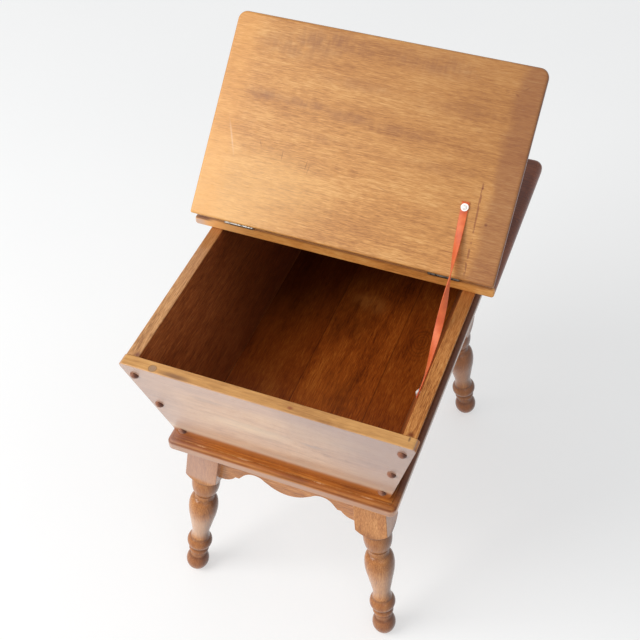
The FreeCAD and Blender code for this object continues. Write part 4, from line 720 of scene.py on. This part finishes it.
# Metal and leather
def make_metal(name, colour, dull, rough, metallic=1.0):
    """Paint a metal with scratches, wear and a little tarnish."""
    paint = Paint(name)
    tarnish = paint.noise(paint.place, 260.0, 4.0, 0.6)
    scratch = paint.noise(paint.moved(paint.place, scale=(1, 14, 14)), 300.0, 2.0)
    share = paint.span(tarnish, 0.42, 0.68)
    tinted = paint.mix(share, colour, dull)
    tinted = paint.mix(paint.times(paint.hollows(0.0015), 0.8), tinted, shade(48, 40, 34))
    surface = paint.math("MULTIPLY_ADD", share, 0.2, rough)
    surface = paint.math("MULTIPLY_ADD", scratch, 0.12, surface)
    return paint.finish(tinted, surface, scratch, 0.00005, Metallic=metallic)


LEATHER = ((0.3, shade(206, 86, 40)), (0.5, shade(226, 106, 54)), (0.7, shade(238, 126, 70)))


def make_leather():
    """Paint the orange leather of the strap: fine grain, creases and darker cut edges."""
    paint = Paint("strap_leather")
    cloud = paint.noise(paint.place, 45.0, 3.0, 0.6)
    cells = paint.add("ShaderNodeTexVoronoi", {"Vector": paint.place, "Scale": 900.0}).outputs["Distance"]
    crease = paint.noise(paint.moved(paint.place, scale=(1, 1, 5)), 160.0, 3.0, 0.6, 0.5)
    colour = paint.ramp(cloud, LEATHER)
    colour = paint.mix(paint.span(crease, 0.62, 0.74, 0.0, 0.35), colour, shade(176, 62, 26))
    colour = paint.mix(paint.times(paint.edges(0.0006, 0.3), 0.35), colour, shade(150, 52, 22))
    height = paint.math("MULTIPLY_ADD", cells, 0.6, crease)
    rough = paint.math("MULTIPLY_ADD", cloud, 0.25, 0.38)
    return paint.finish(colour, rough, height, 0.00012, Sheen_Weight=0.1, Sheen_Roughness=0.4)


def paint_nodes(material, *names):
    """Give a material to every slot of some CAD pieces."""
    for name in names:
        for slot in nodes[name].material_slots:
            slot.material = material


paint_nodes(make_lid_wood(), "lid_panel")
paint_nodes(make_top_wood(), "fixed_top")
paint_nodes(make_side_wood("side_wood_left", -1, 2.2, ROSE, BOX, 0.5, 0.4), "side_board_left")
# The right side board's darker brown outside is painted shade
paint_nodes(make_side_wood("side_wood_right", 1, 9.7, TAN, DARK, 0.0, 0.12), "side_board_right")
paint_nodes(make_end_wood("end_wood_front", -1, 4.9), "end_board_front")
paint_nodes(make_end_wood("end_wood_rear", 1, 6.3), "end_board_rear")
paint_nodes(make_base_wood(), "base_board")
paint_nodes(make_leg_wood(), "leg_front_left", "leg_front_right", "leg_rear_left", "leg_rear_right")
paint_nodes(make_apron_wood("apron_wood_across", ALONG_X, 1.7), "apron_front", "apron_rear")
paint_nodes(make_apron_wood("apron_wood_along", ALONG_Y, 8.1), "apron_left", "apron_right")
paint_nodes(make_plain_wood("batten_wood_across", ALONG_X, PALE, 3.9), "batten_front", "batten_rear")
paint_nodes(make_plain_wood("batten_wood_along", ALONG_Y, PALE, 5.2), "batten_left", "batten_right")
paint_nodes(make_plain_wood("cleat_wood", ALONG_Y, AMBER, 6.8), "top_cleat_left", "top_cleat_right")
paint_nodes(make_plug_wood(), "button_plugs_front", "button_plugs_rear")
paint_nodes(make_plain_wood("rim_plug_wood", ALONG_Y, LITTLE_PLUG, 4.4), "rim_plug")
# The hinges are the same steel: the left one is painted lighter and the right one darker, as painted light
# and shade
lit_steel = make_metal("hinge_steel_left", shade(188, 184, 178), shade(96, 84, 72), 0.28)
paint_nodes(lit_steel, "hinge_left_lid_leaf", "hinge_left_fixed_leaf", "hinge_left_pin")
shaded_steel = make_metal("hinge_steel_right", shade(120, 112, 104), shade(56, 46, 40), 0.4)
paint_nodes(shaded_steel, "hinge_right_lid_leaf", "hinge_right_fixed_leaf", "hinge_right_pin")
screw_steel = make_metal("screw_steel", shade(186, 180, 170), shade(120, 108, 92), 0.32)
paint_nodes(screw_steel, "base_screws", "cleat_screws", "batten_screws")
paint_nodes(screw_steel, "box_screws_front", "box_screws_rear", "lid_leaf_screws", "fixed_leaf_screws")
strap_metal = make_metal("strap_metal", shade(248, 247, 244), shade(226, 222, 216), 0.3, 0.55)
paint_nodes(strap_metal, "strap_lid_screw", "strap_wall_screw", "strap_lid_washer", "strap_wall_washer")

# Strap stay: its section, the gap under its tabs, their length from the screws, and its twist
STRAP_WIDTH = 0.0105
STRAP_DEEP = 0.0016
STRAP_GAP = 0.0003
STRAP_TAB = 0.008
STRAP_ROUND = 0.0004
STRAP_STEPS = 96
STRAP_EASE_SHARE = 0.2
STRAP_TWIST = math.radians(270)
STRAP_HOLE = 0.00178
TAB_SHARES = (-1.0, -0.5, 0.0, 0.5, 1.0)
WALL_SCREW = Vector((0.174298, -0.16935, 0.5102))
LID_SCREW = Vector((0.163184, -0.10705, 0.5555))


def square_to(vector, along):
    """Return the unit part of a vector that is square to a direction."""
    return (vector - along * vector.dot(along)).normalized()


def strap_stations():
    """Return the middle, direction and face of the strap along its length."""
    pin = Vector((0, HINGE_Y, PIN_Z))
    opened = Matrix.Rotation(-OPEN, 3, "X")
    lid_point = opened @ (LID_SCREW - pin) + pin
    lid_face = opened @ Vector((0, 0, -1))
    wall_face = Vector((-math.cos(SIDE_LEAN), 0, math.sin(SIDE_LEAN)))
    middle = STRAP_GAP + STRAP_DEEP / 2
    start = WALL_SCREW + wall_face * middle
    stop = lid_point + lid_face * middle
    along = (stop - start).normalized()
    start_along, stop_along = square_to(along, wall_face), square_to(along, lid_face)
    first, last = start + start_along * STRAP_TAB, stop - stop_along * STRAP_TAB
    ease = (last - first).length * STRAP_EASE_SHARE
    near_first, near_last = first + start_along * ease, last - stop_along * ease
    start_up, stop_up = square_to(wall_face, along), square_to(lid_face, along)
    gap = math.atan2(start_up.cross(stop_up).dot(along), start_up.dot(stop_up))
    half_turns = round((STRAP_TWIST - gap) / math.pi)
    twist = gap + math.pi * half_turns
    last_face = lid_face * (-1) ** half_turns
    stations = []
    for share in TAB_SHARES:
        stations.append((start + start_along * STRAP_TAB * share, start_along, wall_face))
    for step in range(1, STRAP_STEPS):
        share = step / STRAP_STEPS
        rest = 1 - share
        centre = first * rest ** 3 + near_first * (3 * rest ** 2 * share)
        centre += near_last * (3 * rest * share ** 2) + last * share ** 3
        turned = twist * share ** 2 * (3 - 2 * share)
        stations.append((centre, along, Matrix.Rotation(turned, 3, along) @ start_up))
    for share in TAB_SHARES:
        stations.append((stop + stop_along * STRAP_TAB * share, stop_along, last_face))
    return stations


def strap_outline():
    """Return the strap's section, with its edges eased."""
    half, deep = STRAP_WIDTH / 2, STRAP_DEEP / 2
    points = []
    for side, up, first in ((-1, -1, 180), (1, -1, 270), (1, 1, 0), (-1, 1, 90)):
        for step in range(3):
            corner = math.radians(first + 45 * step)
            across = side * (half - STRAP_ROUND) + STRAP_ROUND * math.cos(corner)
            points.append((across, up * (deep - STRAP_ROUND) + STRAP_ROUND * math.sin(corner)))
    return points


def make_strap():
    """Build the strap, and punch it for its screws."""
    mesh = bpy.data.meshes.new("strap")
    strap = bpy.data.objects.new("strap", mesh)
    bpy.context.scene.collection.objects.link(strap)
    work = bmesh.new()
    outline = strap_outline()
    stations = strap_stations()
    loops = []
    for centre, along, face in stations:
        side = along.cross(face).normalized()
        loops.append([work.verts.new(centre + side * x + face * y) for x, y in outline])
    for lower, upper in zip(loops, loops[1:]):
        for index in range(len(outline)):
            following = (index + 1) % len(outline)
            work.faces.new((lower[index], lower[following], upper[following], upper[index]))
    work.faces.new(reversed(loops[0]))
    work.faces.new(loops[-1])
    bmesh.ops.recalc_face_normals(work, faces=work.faces)
    for face in work.faces:
        face.smooth = len(face.verts) == 4
    work.to_mesh(mesh)
    work.free()
    for centre, _, face in (stations[2], stations[-3]):
        punch(strap, centre, face)
    return strap


def punch(piece, centre, face):
    """Cut a round hole through a piece."""
    mesh = bpy.data.meshes.new("punch")
    tool = bpy.data.objects.new("punch", mesh)
    bpy.context.scene.collection.objects.link(tool)
    work = bmesh.new()
    place = Matrix.Translation(centre) @ face.to_track_quat("Z", "Y").to_matrix().to_4x4()
    bmesh.ops.create_cone(work, cap_ends=True, segments=24, radius1=STRAP_HOLE, radius2=STRAP_HOLE,
                          depth=STRAP_DEEP * 3, matrix=place)
    work.to_mesh(mesh)
    work.free()
    cutter = piece.modifiers.new("punch", "BOOLEAN")
    cutter.object = tool
    cutter.operation = "DIFFERENCE"
    bpy.context.view_layer.update()
    cut = bpy.data.meshes.new_from_object(piece.evaluated_get(bpy.context.evaluated_depsgraph_get()))
    piece.modifiers.clear()
    piece.data = cut
    bpy.data.objects.remove(tool)


strap = make_strap()
strap.data.materials.clear()
strap.data.materials.append(make_leather())
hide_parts("stay_strap")
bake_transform(strap)

# Floor: half its size, its tones from dark to light, and the share of glow that the camera sees
FLOOR_HALF = 20.0
FLOOR_TONES = ((0.3, (0.86, 0.862, 0.868, 1)), (0.7, (0.90, 0.90, 0.902, 1)))
FLOOR_GLOW = 0.42
GLOW_COLOUR = (0.985, 0.998, 1.0, 1)
GLOW_STRENGTH = 1.2
# The soft shade to the right of the table, which goes on beyond its shadow
SHADE_COLOUR = (0.62, 0.62, 0.615, 1)
SHADE_MIDDLE = (0.85, 0.55, 0.0)
SHADE_REACH = (1.1, 0.9, 1.0)
SHADE_TURN = math.radians(20)
SHADE_AMOUNT = 0.12


def make_floor():
    """Lay a pale seamless floor, which the camera and reflections see as nearly white."""
    mesh = bpy.data.meshes.new("floor")
    floor = bpy.data.objects.new("floor", mesh)
    bpy.context.scene.collection.objects.link(floor)
    corners = [(-1, -1), (1, -1), (1, 1), (-1, 1)]
    mesh.from_pydata([(x * FLOOR_HALF, y * FLOOR_HALF, 0) for x, y in corners], [], [(0, 1, 2, 3)])
    paint = Paint("floor_paper")
    cloud = paint.noise(paint.place, 1.4, 2.0)
    colour = paint.ramp(cloud, FLOOR_TONES)
    shaded = paint.spot(paint.place, SHADE_MIDDLE, SHADE_REACH, SHADE_TURN)
    colour = paint.mix(paint.times(shaded, SHADE_AMOUNT), colour, SHADE_COLOUR)
    rough = paint.span(cloud, 0.3, 0.7, 0.8, 0.9)
    paper = paint.add("ShaderNodeBsdfPrincipled", {"Base Color": colour, "Roughness": rough})
    glow = paint.add("ShaderNodeEmission", {"Color": GLOW_COLOUR, "Strength": GLOW_STRENGTH})
    path = paint.add("ShaderNodeLightPath").outputs
    seen = paint.math("MAXIMUM", path["Is Camera Ray"], path["Is Glossy Ray"])
    seen = paint.math("MAXIMUM", seen, path["Is Transmission Ray"])
    share = paint.times(seen, FLOOR_GLOW)
    surface = paint.add("ShaderNodeMixShader", {0: share, 1: paper.outputs[0], 2: glow.outputs[0]})
    paint.add("ShaderNodeOutputMaterial", {"Surface": surface.outputs[0]})
    mesh.materials.append(paint.material)


make_floor()


# Light: for each lamp its place, width, power and tint
LAMP_AIM = (0, 0, 0.3)
LAMPS = {
    "key": ((-1.9, -1.6, 2.3), 1.9, 64.0, (1.0, 0.99, 0.97)),
    "fill": ((1.8, -2.4, 1.9), 2.0, 10.0, (0.97, 0.985, 1.0)),
}
# Colour and strength of the light from all round, and of what the camera and reflections see past the floor
SKY_LIGHT = ((0.985, 0.99, 1.0, 1), 0.5)
SKY_SEEN = ((1, 1, 1, 1), 0.95)


def make_lamp(name, place, width, power, tint):
    """Hang a soft square lamp, facing the table."""
    lamp = bpy.data.lights.new(name, "AREA")
    lamp.shape = "SQUARE"
    lamp.size = width
    lamp.energy = power
    lamp.color = tint
    holder = bpy.data.objects.new(name, lamp)
    bpy.context.scene.collection.objects.link(holder)
    holder.location = place
    holder.rotation_euler = (Vector(LAMP_AIM) - Vector(place)).to_track_quat("-Z", "Y").to_euler()


def make_world():
    """Give soft light from all round, and white where the camera or a reflection sees past the floor."""
    world = bpy.data.worlds.new("studio")
    bpy.context.scene.world = world
    world.use_nodes = True
    tree = world.node_tree
    tree.nodes.clear()
    path = tree.nodes.new("ShaderNodeLightPath").outputs
    seen = path["Is Camera Ray"]
    for kind in ("Is Glossy Ray", "Is Transmission Ray"):
        larger = tree.nodes.new("ShaderNodeMath")
        larger.operation = "MAXIMUM"
        tree.links.new(seen, larger.inputs[0])
        tree.links.new(path[kind], larger.inputs[1])
        seen = larger.outputs[0]
    blend = tree.nodes.new("ShaderNodeMixShader")
    tree.links.new(seen, blend.inputs[0])
    for index, (colour, strength) in ((1, SKY_LIGHT), (2, SKY_SEEN)):
        light = tree.nodes.new("ShaderNodeBackground")
        light.inputs["Color"].default_value = colour
        light.inputs["Strength"].default_value = strength
        tree.links.new(light.outputs[0], blend.inputs[index])
    output = tree.nodes.new("ShaderNodeOutputWorld")
    tree.links.new(blend.outputs[0], output.inputs["Surface"])


for lamp_name, lamp in LAMPS.items():
    make_lamp(lamp_name, *lamp)
make_world()
bpy.context.scene.view_settings.view_transform = "Standard"

# Camera, fitted to the photograph
CAMERA_AZIMUTH = math.radians(21.958)
CAMERA_ELEVATION = math.radians(46.729)
CAMERA_ROLL = math.radians(-1.231)
CAMERA_PLACE = (0.39330, -1.06206, 1.62280)
CAMERA_LENS = 60.36
CAMERA_SENSOR = 36.0
CAMERA_REACH = 60.0


def make_camera():
    """Set the camera by its three angles."""
    camera = bpy.data.cameras.new("camera")
    camera.lens = CAMERA_LENS
    camera.sensor_width = CAMERA_SENSOR
    camera.clip_end = CAMERA_REACH
    holder = bpy.data.objects.new("camera", camera)
    bpy.context.scene.collection.objects.link(holder)
    back = Vector((
        math.sin(CAMERA_AZIMUTH) * math.cos(CAMERA_ELEVATION),
        -math.cos(CAMERA_AZIMUTH) * math.cos(CAMERA_ELEVATION),
        math.sin(CAMERA_ELEVATION),
    ))
    level = Vector((math.cos(CAMERA_AZIMUTH), math.sin(CAMERA_AZIMUTH), 0))
    rise = back.cross(level)
    right = level * math.cos(CAMERA_ROLL) + rise * math.sin(CAMERA_ROLL)
    up = rise * math.cos(CAMERA_ROLL) - level * math.sin(CAMERA_ROLL)
    turn = Matrix((right, up, back)).transposed().to_4x4()
    holder.matrix_world = Matrix.Translation(CAMERA_PLACE) @ turn
    bpy.context.scene.camera = holder


make_camera()
